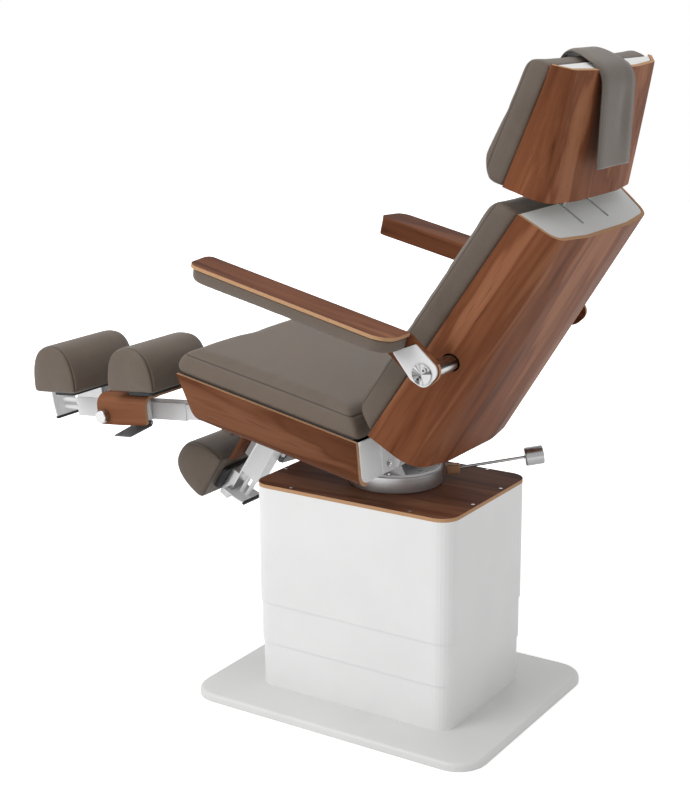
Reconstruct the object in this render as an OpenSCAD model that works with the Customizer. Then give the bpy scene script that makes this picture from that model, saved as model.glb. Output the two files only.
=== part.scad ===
// Podiatry treatment chair on a telescopic lifting column.
// Units are millimetres. The floor is z = 0, the column stands on the origin,
// the sitter faces -Y and the sitter's left is +X.

/* [Base] */
// Width of the floor plate
base_w = 636; // [560:1:760]
// Length of the floor plate
base_l = 800; // [720:1:900]
// Thickness of the floor plate
base_h = 20; // [16:1:30]
// Corner radius of the floor plate
base_r = 74; // [60:1:120]
// Chamfer round the top edge of the floor plate
base_chamfer = 9; // [4:1:12]

/* [Lifting column] */
// Width of the largest casing, the top one
casing_w = 400; // [340:1:440]
// Length of the largest casing
casing_l = 552; // [500:1:600]
// Corner radius of the largest casing
casing_r = 45; // [25:1:60]
// Sheet thickness of the casings
casing_wall = 2; // [1.5:0.1:3]
// Step from one casing to the next, per side
casing_step = 3; // [2.5:0.5:8]
// Height of the rim that carries the wooden top plate
rim_z = 540; // [520:1:580]
// Bottom edge of the top casing as the chair is shown
upper_z = 242; // [235:1:260]
// Bottom edge of the middle casing as the chair is shown
middle_z = 135; // [130:1:150]
// Thickness of the wooden top plate
top_plate_t = 9; // [6:0.5:12]

/* [Turntable] */
// Radius of the brushed ring
ring_r = 115; // [100:1:130]
// Height of the brushed ring
ring_h = 37; // [30:1:45]
// Distance of the turntable behind the middle of the column
turn_y = 14; // [0:1:30]
// Direction of the brake lever, seen from above
brake_az = 125; // [100:1:150]
// Length of the brake lever's rod
brake_l = 172; // [140:1:220]

/* [Seat] */
// Half of the seat tray's width
seat_hw = 268; // [250:1:290]
// Length of the seat tray at its top edge
seat_l = 523; // [480:1:560]
// Depth of the seat tray
seat_d = 102; // [90:1:115]
// Slope of the seat, front edge high
seat_pitch = 10.7; // [5:0.1:15]
// Thickness of the bent plywood
ply_t = 9; // [7:0.5:12]
// Thickness of the seat cushion at its seam
seat_cushion_t = 62; // [50:1:75]

/* [Backrest] */
// Half of the backrest's width
back_hw = 266; // [250:1:290]
// Length of the backrest shell
back_l = 636; // [600:1:680]
// Lean of the backrest's front from the vertical
back_lean = 34.7; // [25:0.1:45]
// Thickness of the back cushion
back_cushion_t = 64; // [50:1:75]

/* [Headrest] */
// Half of the headrest's width
head_hw = 257; // [230:1:270]
// Length of the headrest shell
head_l = 267; // [240:1:300]
// Lean of the headrest's front from the vertical
head_lean = 22.9; // [15:0.1:30]
// Thickness of the head cushion
head_cushion_t = 60; // [45:1:70]

/* [Armrests] */
// Distance of an armrest's inner face from the middle
arm_x = 360; // [350:1:400]
// Width of an armrest's top
arm_w = 101; // [80:1:115]
// Length of an armrest's top
arm_l = 540; // [480:1:580]
// Slope of the armrests, front end high
arm_pitch = 12.7; // [5:0.1:18]
// Radius of the armrest shaft
arm_shaft_r = 18; // [14:0.5:20]

/* [Leg rests] */
// Distance of a leg tube from the middle
leg_x = 92; // [80:1:100]
// Slope of the raised left leg rest below level
left_slope = 5.2; // [0:0.1:10]
// Slope of the lowered right leg rest below level
right_slope = 57.6; // [50:0.1:65]
// Pull-out of the left calf rest
left_calf_out = 135; // [100:1:140]
// Pull-out of the left end plate, measured past the calf rest
left_end_out = 141; // [100:1:145]
// Pull-out of the left foot pad, measured past the calf rest
left_foot_out = 35; // [0:1:38]
// Width of a leg pad
pad_w = 248; // [220:1:252]

/* [Hidden] */

$fn = 64;

// Cuts run past the faces they open by this much
over = 5;
// Air between a cushion and what it lies on
soft_gap = 0.3;
// Radial running clearance of a pin or shaft
run_gap = 0.05;
// Steps of a rounded corner in an outline
corner_steps = 7;

// Colours
white = [0.90, 0.90, 0.91];
grey_white = [0.80, 0.81, 0.82];
walnut = [0.43, 0.25, 0.16];
taupe = [0.40, 0.36, 0.33];
steel = [0.72, 0.72, 0.73];
dark = [0.20, 0.20, 0.21];
brass = [0.72, 0.55, 0.35];

// Corner of a path rounded by an arc: its own points
function corner_arc(a, p, b, r) =
  r == 0 ? [p] :
  let (u = (a - p) / norm(a - p),
       v = (b - p) / norm(b - p),
       half = acos(max(-1, min(1, u * v))) / 2,
       mid = (u + v) / norm(u + v),
       c = p + mid * (r / sin(half)),
       s = p + u * (r / tan(half)) - c,
       e = p + v * (r / tan(half)) - c,
       a0 = atan2(s.y, s.x),
       turn = atan2(s.x * e.y - s.y * e.x, s * e))
  [for (i = [0:corner_steps]) let (t = a0 + turn * i / corner_steps) c + r * [cos(t), sin(t)]];

// Closed path with a radius at each point
function rounded(pts, rs) =
  let (n = len(pts))
  [for (i = [0:n - 1])
    for (q = corner_arc(pts[(i + n - 1) % n], pts[i], pts[(i + 1) % n], rs[i])) q];

// Solid from x0 to x1 of an outline drawn in Y and Z
module side_slab(x0, x1) {
  translate([x0, 0, 0]) rotate([90, 0, 90]) linear_extrude(x1 - x0) children();
}

// The same slab on both sides of the middle
module both_sides(x0, x1) {
  side_slab(x0, x1) children();
  side_slab(-x1, -x0) children();
}

// Skin through a stack of closed rings that have the same number of points
module loft(rings) {
  n = len(rings[0]);
  m = len(rings);
  polyhedron(
    points = [for (ring = rings) for (p = ring) p],
    faces = concat(
      [[for (i = [0:n - 1]) i]],
      [for (k = [0:m - 2]) for (i = [0:n - 1])
        let (j = (i + 1) % n) [k * n + i, (k + 1) * n + i, (k + 1) * n + j]],
      [for (k = [0:m - 2]) for (i = [0:n - 1])
        let (j = (i + 1) % n) [k * n + i, (k + 1) * n + j, k * n + j]],
      [[for (i = [n - 1:-1:0]) (m - 1) * n + i]]));
}

module rounded_plate(w, l, r, h) {
  linear_extrude(h)
    polygon(rounded([[-w, -l] / 2, [w, -l] / 2, [w, l] / 2, [-w, l] / 2], [r, r, r, r]));
}

// Floor plate and lifting column

cover_wall = 4;
floor_steel_t = 10;
floor_steel_margin = 12;

module base_cover() color(white) difference() {
  union() {
    rounded_plate(base_w, base_l, base_r, base_h - base_chamfer);
    loft([
      for (step = [0:3])
        let (t = 30 * step, in = base_chamfer * (1 - cos(t)), up = base_chamfer * sin(t))
        [for (p = rounded(
            [[-base_w, -base_l] / 2 + [in, in], [base_w, -base_l] / 2 + [-in, in],
             [base_w, base_l] / 2 + [-in, -in], [-base_w, base_l] / 2 + [in, -in]],
            [for (i = [0:3]) base_r - in]))
          [p.x, p.y, base_h - base_chamfer + up]]]);
  }
  translate([0, 0, -over])
    rounded_plate(base_w - 2 * floor_steel_margin, base_l - 2 * floor_steel_margin,
                  base_r - floor_steel_margin, floor_steel_t + over);
  translate([0, 0, -over])
    rounded_plate(column_w + soft_gap, column_l + soft_gap, column_r, base_h + 2 * over);
}

module casing(stage, z0, z1) {
  w = casing_w - 2 * casing_step * stage;
  l = casing_l - 2 * casing_step * stage;
  r = casing_r - casing_step * stage;
  translate([0, 0, z0]) difference() {
    rounded_plate(w, l, r, z1 - z0);
    translate([0, 0, -over])
      rounded_plate(w - 2 * casing_wall, l - 2 * casing_wall, r - casing_wall,
                    z1 - z0 + 2 * over);
  }
}

casing_lower_top = 305;
casing_middle_top = 418;

module casing_lower() color(white) casing(2, base_h, casing_lower_top);
module casing_middle() color(white) casing(1, middle_z, casing_middle_top);
module casing_upper() color(white) casing(0, upper_z, rim_z);

// Telescopic column inside the casings, the largest profile at the bottom
column_w = 160;
column_l = 200;
column_r = 12;
column_wall = 5;
column_gap = 1;
carrier_t = 5;
head_plate_t = 8;

module column_tube(stage, z0, z1) {
  inset = 2 * stage * (column_wall + column_gap);
  translate([0, 0, z0]) difference() {
    rounded_plate(column_w - inset, column_l - inset, column_r - stage * column_gap, z1 - z0);
    translate([0, 0, -over])
      rounded_plate(column_w - inset - 2 * column_wall, column_l - inset - 2 * column_wall,
                    column_r - column_wall, z1 - z0 + 2 * over);
  }
}

// Steel floor plate with the fixed profile welded on
module column_lower() color(steel) {
  rounded_plate(base_w - 2 * floor_steel_margin - 1, base_l - 2 * floor_steel_margin - 1,
                base_r - floor_steel_margin - 1, floor_steel_t);
  column_tube(0, floor_steel_t, casing_lower_top - 8);
}

// Middle profile with the plate that carries the middle casing
module column_middle() color(steel) {
  column_tube(1, middle_z, casing_middle_top);
  w = casing_w - 2 * casing_step - 2 * casing_wall;
  l = casing_l - 2 * casing_step - 2 * casing_wall;
  inset = 2 * (column_wall + column_gap);
  translate([0, 0, casing_middle_top - carrier_t]) difference() {
    rounded_plate(w, l, casing_r - casing_step - casing_wall, carrier_t);
    translate([0, 0, -over])
      rounded_plate(column_w - inset - column_wall, column_l - inset - column_wall,
                    column_r - column_wall, carrier_t + 2 * over);
  }
}

// Inner profile with the head plate that carries the top casing
module column_upper() color(steel) difference() {
  union() {
    column_tube(2, upper_z, rim_z - head_plate_t);
    translate([0, 0, rim_z - head_plate_t])
      rounded_plate(casing_w - 2 * casing_wall, casing_l - 2 * casing_wall,
                    casing_r - casing_wall, head_plate_t);
  }
  screw_places() translate([0, 0, rim_z - top_screw_l])
    cylinder(r = top_screw_r + soft_gap, h = top_screw_l + over);
}

// Gear motor at the foot of the column
motor_r = 34;
motor_l = 150;

module lift_motor() color(dark) {
  translate([0, column_l / 2 + soft_gap, base_h + motor_r]) rotate([-90, 0, 0])
    cylinder(r = motor_r, h = motor_l / 2);
  translate([-motor_r / 2, column_l / 2 + soft_gap, base_h])
    cube([motor_r, motor_l / 2 + motor_r / 2, motor_r]);
}

top_screw_r = 2.2;
top_screw_head_r = 4.5;
top_screw_head_h = 1.4;
top_screw_l = 8;
top_screw_edge = 11;
top_screw_x = 70;
top_screw_y = 166;

module screw_places() {
  for (sx = [-1, 1], sy = [-1, 1]) {
    translate([sx * (casing_w / 2 - top_screw_edge), sy * top_screw_y, 0]) children();
    translate([sx * top_screw_x, sy * (casing_l / 2 - top_screw_edge), 0]) children();
  }
}

module top_plate() color(walnut) difference() {
  translate([0, 0, rim_z]) rounded_plate(casing_w, casing_l, casing_r, top_plate_t);
  screw_places() translate([0, 0, rim_z - over])
    cylinder(r = top_screw_r + soft_gap, h = top_plate_t + 2 * over);
}

module top_plate_screws() color(steel) screw_places() {
  translate([0, 0, rim_z + top_plate_t]) cylinder(r = top_screw_head_r, h = top_screw_head_h);
  translate([0, 0, rim_z - top_screw_l])
    cylinder(r = top_screw_r, h = top_screw_l + top_plate_t);
}

// Turntable

top_z = rim_z + top_plate_t;
foot_t = 2;
foot_r = 108;
hub_r = 30;
collar_r = 58;
ring_bore_r = 96;
ring_floor_t = 8;
disc_z = top_z + foot_t + ring_h + soft_gap;
disc_t = 6;
disc_r = 110;

// Fixed ring on a set-back foot, with the collar that bears the hub
module turntable_ring() color(steel) translate([0, turn_y, top_z]) difference() {
  union() {
    cylinder(r = foot_r, h = foot_t);
    translate([0, 0, foot_t]) cylinder(r = ring_r, h = ring_h);
  }
  translate([0, 0, foot_t + ring_floor_t]) difference() {
    cylinder(r = ring_bore_r, h = ring_h);
    translate([0, 0, -over]) cylinder(r = collar_r, h = ring_h - ring_floor_t + over);
  }
  translate([0, 0, -over]) cylinder(r = hub_r + run_gap, h = ring_h + foot_t + 2 * over);
}

// White disc, its hub and the two cheeks that carry the seat
cheek_x = 78;
cheek_t = 8;
cheek_foot = 74;
cheek_top_r = 20;
tilt_pin_r = 9;
hub_drop = disc_z - top_z - 3;

module swivel_chassis() color(white) difference() {
  union() {
    translate([0, turn_y, disc_z]) cylinder(r = disc_r, h = disc_t);
    translate([0, turn_y, disc_z - hub_drop]) cylinder(r = hub_r, h = hub_drop);
    both_sides(cheek_x, cheek_x + cheek_t) polygon(rounded(
      [[tilt_y - cheek_foot, disc_z + disc_t], [tilt_y + cheek_foot - 8, disc_z + disc_t],
       [tilt_y + cheek_top_r * 1.4, tilt_z + cheek_top_r], [tilt_y - cheek_top_r * 1.4,
        tilt_z + cheek_top_r]], [0, 0, cheek_top_r, cheek_top_r]));
    translate([-cheek_x, tilt_y - cheek_foot, disc_z + disc_t])
      cube([2 * cheek_x, cheek_t, tilt_z - disc_z - disc_t - cheek_top_r]);
  }
  translate([-cheek_x - cheek_t - over, tilt_y, tilt_z]) rotate([0, 90, 0])
    cylinder(r = tilt_pin_r + run_gap, h = 2 * (cheek_x + cheek_t + over));
  swivel_screw_places() translate([0, 0, disc_z - over])
    cylinder(r = swivel_screw_r, h = disc_t + 2 * over);
}

swivel_screw_r = 3;
swivel_screw_head_r = 5.5;
swivel_screw_head_h = 3.5;
swivel_screw_n = 8;

module swivel_screw_places() {
  for (i = [0:swivel_screw_n - 1])
    translate([0, turn_y, 0]) rotate([0, 0, (i + 0.5) * 360 / swivel_screw_n])
      translate([(ring_r + ring_bore_r) / 2 - 3, 0, 0]) children();
}

module swivel_screws() color(steel) swivel_screw_places() {
  translate([0, 0, disc_z + disc_t]) cylinder(r = swivel_screw_head_r, h = swivel_screw_head_h);
  translate([0, 0, disc_z]) cylinder(r = swivel_screw_r - run_gap, h = disc_t);
}

// Brake lever beside the ring
brake_in = 5;
brake_block_l = 40;
brake_block_w = 26;
brake_pin_r = 4;
brake_rod_r = 3.6;
brake_eye_r = 9;
brake_eye_h = 9;
brake_rise = 8.4;
brake_knob_r = 23;
brake_knob_l = 46;
brake_pivot_r = ring_r + brake_in + brake_block_l * 0.62;
brake_z = top_z + 27;

module brake_place() {
  translate([0, turn_y, 0]) rotate([0, 0, brake_az]) children();
}

module brake_block() color(brass) brake_place() difference() {
  union() {
    difference() {
      translate([ring_r + brake_in, -brake_block_w / 2, top_z])
        cube([brake_block_l, brake_block_w, ring_h + 4]);
      translate([brake_pivot_r - brake_eye_r - 2, -brake_block_w, brake_z - brake_eye_h / 2 - 0.5])
        cube([brake_block_l, 2 * brake_block_w, brake_eye_h + brake_rod_r]);
    }
    translate([brake_pivot_r, 0, top_z + over]) cylinder(r = brake_pin_r, h = ring_h - 6);
  }
}

module brake_lever() color(steel) brake_place() difference() {
  union() {
    translate([brake_pivot_r, 0, brake_z - brake_eye_h / 2])
      cylinder(r = brake_eye_r, h = brake_eye_h);
    translate([brake_pivot_r, 0, brake_z]) rotate([0, 90 - brake_rise, 0])
      rotate_extrude() polygon(rounded(
        [[0, 0], [brake_rod_r, 0], [brake_rod_r, brake_l], [brake_knob_r, brake_l],
         [brake_knob_r, brake_l + brake_knob_l], [0, brake_l + brake_knob_l]],
        [0, 0, 0, 4, 3, 0]));
  }
  translate([brake_pivot_r, 0, brake_z - brake_eye_h])
    cylinder(r = brake_pin_r + run_gap, h = 2 * brake_eye_h);
}

// Seat: its own frame has Y to the rear along the tray's top edge

seat_y = 70;
seat_z = 717;

module seat_place() {
  translate([0, seat_y, seat_z]) rotate([-seat_pitch, 0, 0]) children();
}

// A point of the seat frame in the chair's frame
function from_seat(y, z) =
  [seat_y + y * cos(seat_pitch) + z * sin(seat_pitch),
   seat_z - y * sin(seat_pitch) + z * cos(seat_pitch)];

// Tilt pivot, recline pivot and leg pivot in the seat frame
tilt_sy = -35;
tilt_sz = -75;
tilt_y = from_seat(tilt_sy, tilt_sz)[0];
tilt_z = from_seat(tilt_sy, tilt_sz)[1];
recline_sy = 40.3;
recline_sz = 23.9;
leg_sy = -414;
leg_sz = -83.4;

rear_slant = 29;
front_slant = 76;
tray_bend_r = 25;

// Side view of the seat tray, grown inwards by t
function tray_side(t) = rounded(
  [[0, 0], [rear_slant, -seat_d + t], [-seat_l + front_slant, -seat_d + t], [-seat_l, 0]],
  [0, 0, 30, 0]);

module tray_section(hw, d, r) {
  translate([-hw, -d + r]) square([2 * hw, d - r]);
  translate([-hw + r, -d]) square([2 * (hw - r), r]);
  for (s = [-1, 1]) translate([s * (hw - r), -d + r]) circle(r);
}

front_notch_hw = 236;
front_notch_y = -338;
rear_notch_hw = 182;
rear_notch_y = -122;

module seat_shell() color(walnut) seat_place() difference() {
  intersection() {
    translate([0, rear_slant + over, 0]) rotate([90, 0, 0])
      linear_extrude(seat_l + rear_slant + 2 * over) difference() {
        tray_section(seat_hw, seat_d, tray_bend_r);
        translate([0, over]) tray_section(seat_hw - ply_t, seat_d - ply_t + over,
                                          tray_bend_r - ply_t);
      }
    side_slab(-seat_hw - over, seat_hw + over) polygon(tray_side(0));
  }
  translate([-front_notch_hw, -seat_l - over, -seat_d - over])
    cube([2 * front_notch_hw, seat_l + over + front_notch_y, seat_d / 2]);
  translate([0, 0, -seat_d - over]) linear_extrude(seat_d / 2) polygon(
    [[-seat_hw + tray_bend_r, rear_slant + over], [-rear_notch_hw, -rear_slant / 2],
     [-rear_notch_hw + 40, rear_notch_y], [rear_notch_hw - 40, rear_notch_y],
     [rear_notch_hw, -rear_slant / 2], [seat_hw - tray_bend_r, rear_slant + over]]);
}

// Steel frame inside the tray
rail_x = 140;
rail_w = 30;
rail_h = 44;
cross_h = 34;
cross_w = 30;
lug_t = 8;
leg_pin_r = 10;
leg_lug_r = 17;
tilt_lug_x = cheek_x + cheek_t + 2;
end_plate_t = 4;

module seat_frame() color(dark) seat_place() difference() {
  union() {
    both_sides(rail_x, rail_x + rail_w) polygon(
      [[-seat_l + 115, 0], [0, 0], [rear_slant * rail_h / seat_d, -rail_h], [-seat_l + 115, -rail_h]]);
    for (y = [leg_sy + 84, -170])
      translate([-rail_x - rail_w, y, -rail_h - cross_h])
        cube([2 * (rail_x + rail_w), cross_w, cross_h]);
    both_sides(rail_x, rail_x + rail_w) polygon(
      [[leg_sy + 84, -rail_h - over], [leg_sy + 84 + cross_w, -rail_h - over],
       [leg_sy + 84 + cross_w, -rail_h + over], [leg_sy + 84, -rail_h + over]]);
    for (x = [leg_x - 42, leg_x + 34])
      both_sides(x, x + lug_t) polygon(rounded(
        [[leg_sy - leg_lug_r, leg_sz - leg_lug_r], [leg_sy + 40, leg_sz - leg_lug_r],
         [leg_sy + 84 + cross_w, -rail_h - cross_h], [leg_sy + 84 + cross_w, -rail_h],
         [leg_sy + 84, -rail_h], [leg_sy - leg_lug_r, leg_sz + leg_lug_r + 8]],
        [leg_lug_r - 1, 6, 0, 0, 0, leg_lug_r - 1]));
    both_sides(tilt_lug_x, tilt_lug_x + lug_t) polygon(rounded(
      [[tilt_sy - 18, tilt_sz - 18], [tilt_sy + 18, tilt_sz - 18], [tilt_sy + 34, -6],
       [-170, -6], [-170, -60]], [16, 16, 0, 0, 0]));
    translate([-rail_x, -36, -26]) cube([2 * rail_x, 16, 20]);
  }
  rotate_x_bore(leg_sy, leg_sz, leg_pin_r + run_gap);
  rotate_x_bore(tilt_sy, tilt_sz, tilt_pin_r + run_gap);
  translate([-actuator_r - 1, -250, recline_rod_z - actuator_r - 1])
    cube([2 * (actuator_r + 1), 300, 2 * (actuator_r + 1)]);
}

// Bore across the whole chair along X
module rotate_x_bore(y, z, r) {
  translate([-seat_hw, y, z]) rotate([0, 90, 0]) cylinder(r = r, h = 2 * seat_hw);
}

// Rod along X between two distances from the middle
module x_rod(x0, x1, y, z, r) {
  translate([x0, y, z]) rotate([0, 90, 0]) cylinder(r = r, h = x1 - x0);
}

// Shaft of the leg rests, tilt pin and the two recline pins
recline_pin_r = 8;
hinge_plate_x = 118;
hinge_plate_t = 8;
back_lug_x = hinge_plate_x + hinge_plate_t + 2;

module seat_pivot_pins() color(steel) seat_place() {
  x_rod(-leg_x - 52, leg_x + 52, leg_sy, leg_sz, leg_pin_r);
  x_rod(-tilt_lug_x - lug_t - 3, tilt_lug_x + lug_t + 3, tilt_sy, tilt_sz, tilt_pin_r);
  for (s = [-1, 1])
    x_rod(s > 0 ? hinge_plate_x - 3 : -back_lug_x - lug_t - 3,
          s > 0 ? back_lug_x + lug_t + 3 : -hinge_plate_x + 3,
          recline_sy, recline_sz, recline_pin_r);
}

// White plate that closes the tray's rear, with the hinge plates welded on
rod_window_hw = 26;
bracket_foot_x0 = 96;
bracket_foot_x1 = 176;
bracket_foot_t = 5;
bracket_foot_in = 14;

// Outer face of the bracket feet at a depth below the tray's top edge
function bracket_face(depth) = end_plate_t + bracket_foot_t + depth * rear_slant / seat_d;

module seat_end_plate() color(grey_white) seat_place() difference() {
  union() {
    intersection() {
      translate([0, rear_slant + end_plate_t + over, 0]) rotate([90, 0, 0])
        linear_extrude(rear_slant + end_plate_t + 2 * over)
          tray_section(seat_hw - ply_t - soft_gap, seat_d - ply_t - soft_gap,
                       tray_bend_r - ply_t);
      side_slab(-seat_hw, seat_hw) polygon(
        [[soft_gap, 0], [rear_slant + soft_gap, -seat_d],
         [rear_slant + end_plate_t, -seat_d], [end_plate_t, 0]]);
    }
    both_sides(hinge_plate_x, hinge_plate_x + hinge_plate_t) polygon(rounded(
      [[end_plate_t + 2, -6], [rear_slant + end_plate_t - 2, -seat_d + 12],
       [rear_slant + end_plate_t + 10, -seat_d + 22],
       [recline_sy + 13, recline_sz - 4], [recline_sy + 6, recline_sz + 13],
       [recline_sy - 11, recline_sz + 11]], [0, 0, 6, 9, 9, 9]));
    both_sides(bracket_foot_x0, bracket_foot_x1) polygon(
      [[end_plate_t + 3, -bracket_foot_in], [rear_slant + end_plate_t - 3, -seat_d + bracket_foot_in],
       [bracket_face(seat_d - bracket_foot_in), -seat_d + bracket_foot_in],
       [bracket_face(bracket_foot_in), -bracket_foot_in]]);
  }
  rotate_x_bore(recline_sy, recline_sz, recline_pin_r + run_gap);
  translate([-rod_window_hw, -over, -60]) cube([2 * rod_window_hw, 50, 56]);
}

hinge_nut_r = 6.5;
hinge_nut_h = 5;
hinge_bolt_r = 3.5;

module hinge_bolts() color(steel) seat_place()
  for (s = [-1, 1], x = [bracket_foot_x0 + 11, bracket_foot_x1 - 22], z = [-32, -70])
    translate([s * x, bracket_face(-z) + run_gap, z])
      rotate([-90 + atan(rear_slant / seat_d), 0, 0]) {
        cylinder(r = hinge_nut_r, h = hinge_nut_h, $fn = 6);
        cylinder(r = hinge_bolt_r, h = 1.6 * hinge_nut_h);
      }

// Seat cushion: rings across the seat, drawn in at both sides and crowned
function lerp(a, b, t) = a + (b - a) * t;

// Stations across a pad of half width hw with edge radius r: [x, inset share, crown share]
function pad_stations(hw, r, edge, middle) = concat(
  [for (i = [0:edge]) let (t = 90 * i / edge) [-hw + r * (1 - cos(t)), 1 - sin(t), 0]],
  [for (i = [1:middle - 1]) [lerp(-hw + r, hw - r, i / middle), 0, 0]],
  [for (i = [edge:-1:0]) let (t = 90 * i / edge) [hw - r * (1 - cos(t)), 1 - sin(t), 0]]);

// One ring: outline shrunk towards its centre near the sides, its top raised by the crown
function pad_ring(outline, centre, half, x, hw, inset, crown) =
  [for (p = outline)
    let (q = p - centre,
         sy = 1 - inset / half.x,
         sz = 1 - inset / half.y,
         top = max(0, q.y / half.y),
         lift = crown * top * (1 - pow(x / hw, 2)) * (1 - pow(min(1, abs(q.x / half.x)), 2)))
    [x, centre.x + q.x * sy, centre.y + q.y * sz + lift]];

module crowned_pad(outline, centre, half, hw, r, crown, edge = 4, middle = 6) {
  loft([for (s = pad_stations(hw, r, edge, middle))
    pad_ring(outline, centre, half, s[0], hw, r * s[1], crown)]);
}

seat_crown = 9;
// Side view in shares of the tray's length and the cushion's thickness, radii in thicknesses
seat_cushion_shares = [[0.017, 0], [-0.0115, 0.52], [-0.046, 1], [-0.306, 1.016], [-0.631, 1.016],
                       [-0.962, 1], [-1.025, 0.435], [-1.002, 0]];
seat_cushion_r_shares = [0.05, 0.6, 0.26, 0, 0, 0.36, 0.48, 0.05];
seat_cushion_outline = rounded(
  [for (q = seat_cushion_shares) [q.x * seat_l, max(soft_gap, q.y * seat_cushion_t)]],
  seat_cushion_r_shares * seat_cushion_t);
cushion_side_r = 12;
cushion_side_in = 1;

module seat_cushion() color(taupe) seat_place()
  crowned_pad(seat_cushion_outline, [-seat_l, seat_cushion_t] / 2,
              [seat_l * 0.52, seat_cushion_t / 2], seat_hw - cushion_side_in, cushion_side_r,
              seat_crown);

// Electric actuator of the backrest and its rod
actuator_r = 18;
recline_lug_r = 50;
recline_lug_sy = 60;
recline_lug_sz = -22;
recline_rod_z = recline_lug_sz;
recline_rod_r = 9;
actuator_y0 = -235;
actuator_y1 = -18;

module recline_actuator() color(dark) seat_place() difference() {
  union() {
    translate([0, actuator_y0, recline_rod_z]) rotate([-90, 0, 0])
      cylinder(r = actuator_r, h = actuator_y1 - actuator_y0);
    translate([-actuator_r, actuator_y0, -rail_h])
      cube([2 * actuator_r, 2 * actuator_r, rail_h + recline_rod_z]);
    translate([-8, -168, -rail_h]) cube([16, 26, rail_h + recline_rod_z]);
  }
  translate([0, actuator_y0 + 12, recline_rod_z]) rotate([-90, 0, 0])
    cylinder(r = recline_rod_r + run_gap, h = actuator_y1 - actuator_y0);
}

eye_slot_w = 12.4;
eye_slot_h = 20;
eye_t = 12;
eye_back = 14;

module recline_rod() color(steel) seat_place() difference() {
  union() {
    translate([0, actuator_y1 - 130, recline_rod_z]) rotate([-90, 0, 0])
      cylinder(r = recline_rod_r, h = 130 - actuator_y1 + recline_lug_sy - eye_back - 2);
    side_slab(-eye_t / 2, eye_t / 2) polygon(rounded(
      [[recline_lug_sy - eye_back - 8, recline_rod_z - 16], [recline_lug_sy + 11, recline_rod_z - 16],
       [recline_lug_sy + 11, recline_rod_z + 16], [recline_lug_sy - eye_back - 8, recline_rod_z + 16]],
      [4, 4, 4, 4]));
  }
  side_slab(-eye_t, eye_t) translate([recline_lug_sy - eye_slot_w / 2, recline_rod_z - eye_slot_h / 2])
    square([eye_slot_w, eye_slot_h]);
}

// Backrest: its own frame has Z up along the shell's front and Y through its depth

back_from_seat = [30, 23];
back_y = seat_y + back_from_seat.x;
back_z = seat_z + back_from_seat.y;

module back_place() {
  translate([0, back_y, back_z]) rotate([-back_lean, 0, 0]) children();
}

function to_back(y, z) =
  let (dy = y - back_y, dz = z - back_z)
  [dy * cos(back_lean) - dz * sin(back_lean), dy * sin(back_lean) + dz * cos(back_lean)];

function from_back(y, z) =
  [back_y + y * cos(back_lean) + z * sin(back_lean), back_z - y * sin(back_lean) + z * cos(back_lean)];

// Plan outline of a bent shell, open front at depth 0: front half width, rear corner place,
// depth at the middle, corner radius and inset for the inner face
function shell_plan(front, corner, middle, r, t) = rounded(
  [[-front + t, 0], [front - t, 0], [corner.x - t, corner.y - t * 0.85],
   [corner.x * 0.45, middle - t - (middle - corner.y) * 0.2],
   [-corner.x * 0.45, middle - t - (middle - corner.y) * 0.2], [-corner.x + t, corner.y - t * 0.85]],
  [0, 0, r - t, r * 3, r * 3, r - t]);

function raise(outline, z) = [for (p = outline) [p.x, p.y, z]];

back_core_t = 12;
back_low = [243, 126];
back_low_mid = 146;
back_top = [238, 94];
back_top_mid = 112;
back_corner_r = 44;

// Plan of the back shell at a height, t inside its outer face
function back_plan(z, t) =
  let (k = z / back_l)
  raise(shell_plan(back_hw, lerp(back_low, back_top, k), lerp(back_low_mid, back_top_mid, k),
                   back_corner_r, t), z);

// Rear end of an armrest's top edge, and the shaft's place from there
arm_from_back = [170, 274];
arm_rear = [back_y, back_z] + arm_from_back;
arm_pivot = arm_rear + [32, -84];
arm_bore_y = to_back(arm_pivot[0], arm_pivot[1])[0];
arm_bore_z = to_back(arm_pivot[0], arm_pivot[1])[1];
arm_hole_r = 21;

module back_shell() color(walnut) back_place() difference() {
  loft([back_plan(0, 0), back_plan(back_l, 0)]);
  loft([back_plan(-over, ply_t) , back_plan(back_l + over, ply_t)]);
  translate([-back_hw - over, -over, -over])
    cube([2 * (back_hw + over), over + 0.01, back_l + 2 * over]);
  translate([-back_hw - over, arm_bore_y, arm_bore_z]) rotate([0, 90, 0])
    cylinder(r = arm_hole_r, h = 2 * (back_hw + over));
}

// White liner that closes the shell at top, bottom and front
slot_x = 65;
slot_w = 11;
slot_y1 = 68;
liner_gap = 0.3;

// Front board with a bottom board and a top board, which is in strips on both sides of each slot
board_joint = 0.1;
core_front_t = 5;
core_low = 2;
core_high = back_l - 1;
lug_notch_hw = 26;
lug_notch_d = 62;
lug_notch_h = 58;
eye_notch_hw = 24;
eye_notch_d = 78;

module back_core() color(grey_white) back_place() difference() {
  loft([back_plan(core_low, ply_t + liner_gap), back_plan(core_high, ply_t + liner_gap)]);
  translate([-back_hw, core_front_t, core_low + back_core_t])
    cube([2 * back_hw, 2 * back_low_mid, core_high - core_low - 2 * back_core_t]);
  for (z = [core_low + back_core_t, core_high - back_core_t - board_joint])
    translate([-back_hw, -over, z]) cube([2 * back_hw, 2 * back_low_mid, board_joint]);
  for (s = [-1, 1]) {
    translate([s * slot_x - slot_w / 2, -over, core_high - back_core_t - over])
      cube([slot_w, slot_y1 + over, 3 * back_core_t]);
    for (x = [s * slot_x - slot_w / 2 - board_joint, s * slot_x + slot_w / 2])
      translate([x, 0, core_high - back_core_t - over])
        cube([board_joint, back_low_mid, 3 * back_core_t]);
    translate([s * (hinge_plate_x + 16) - lug_notch_hw, -over, -over])
      cube([2 * lug_notch_hw, lug_notch_d + over, lug_notch_h + over]);
  }
  translate([-eye_notch_hw, -over, -over]) cube([2 * eye_notch_hw, eye_notch_d, lug_notch_h + over]);
}

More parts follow.
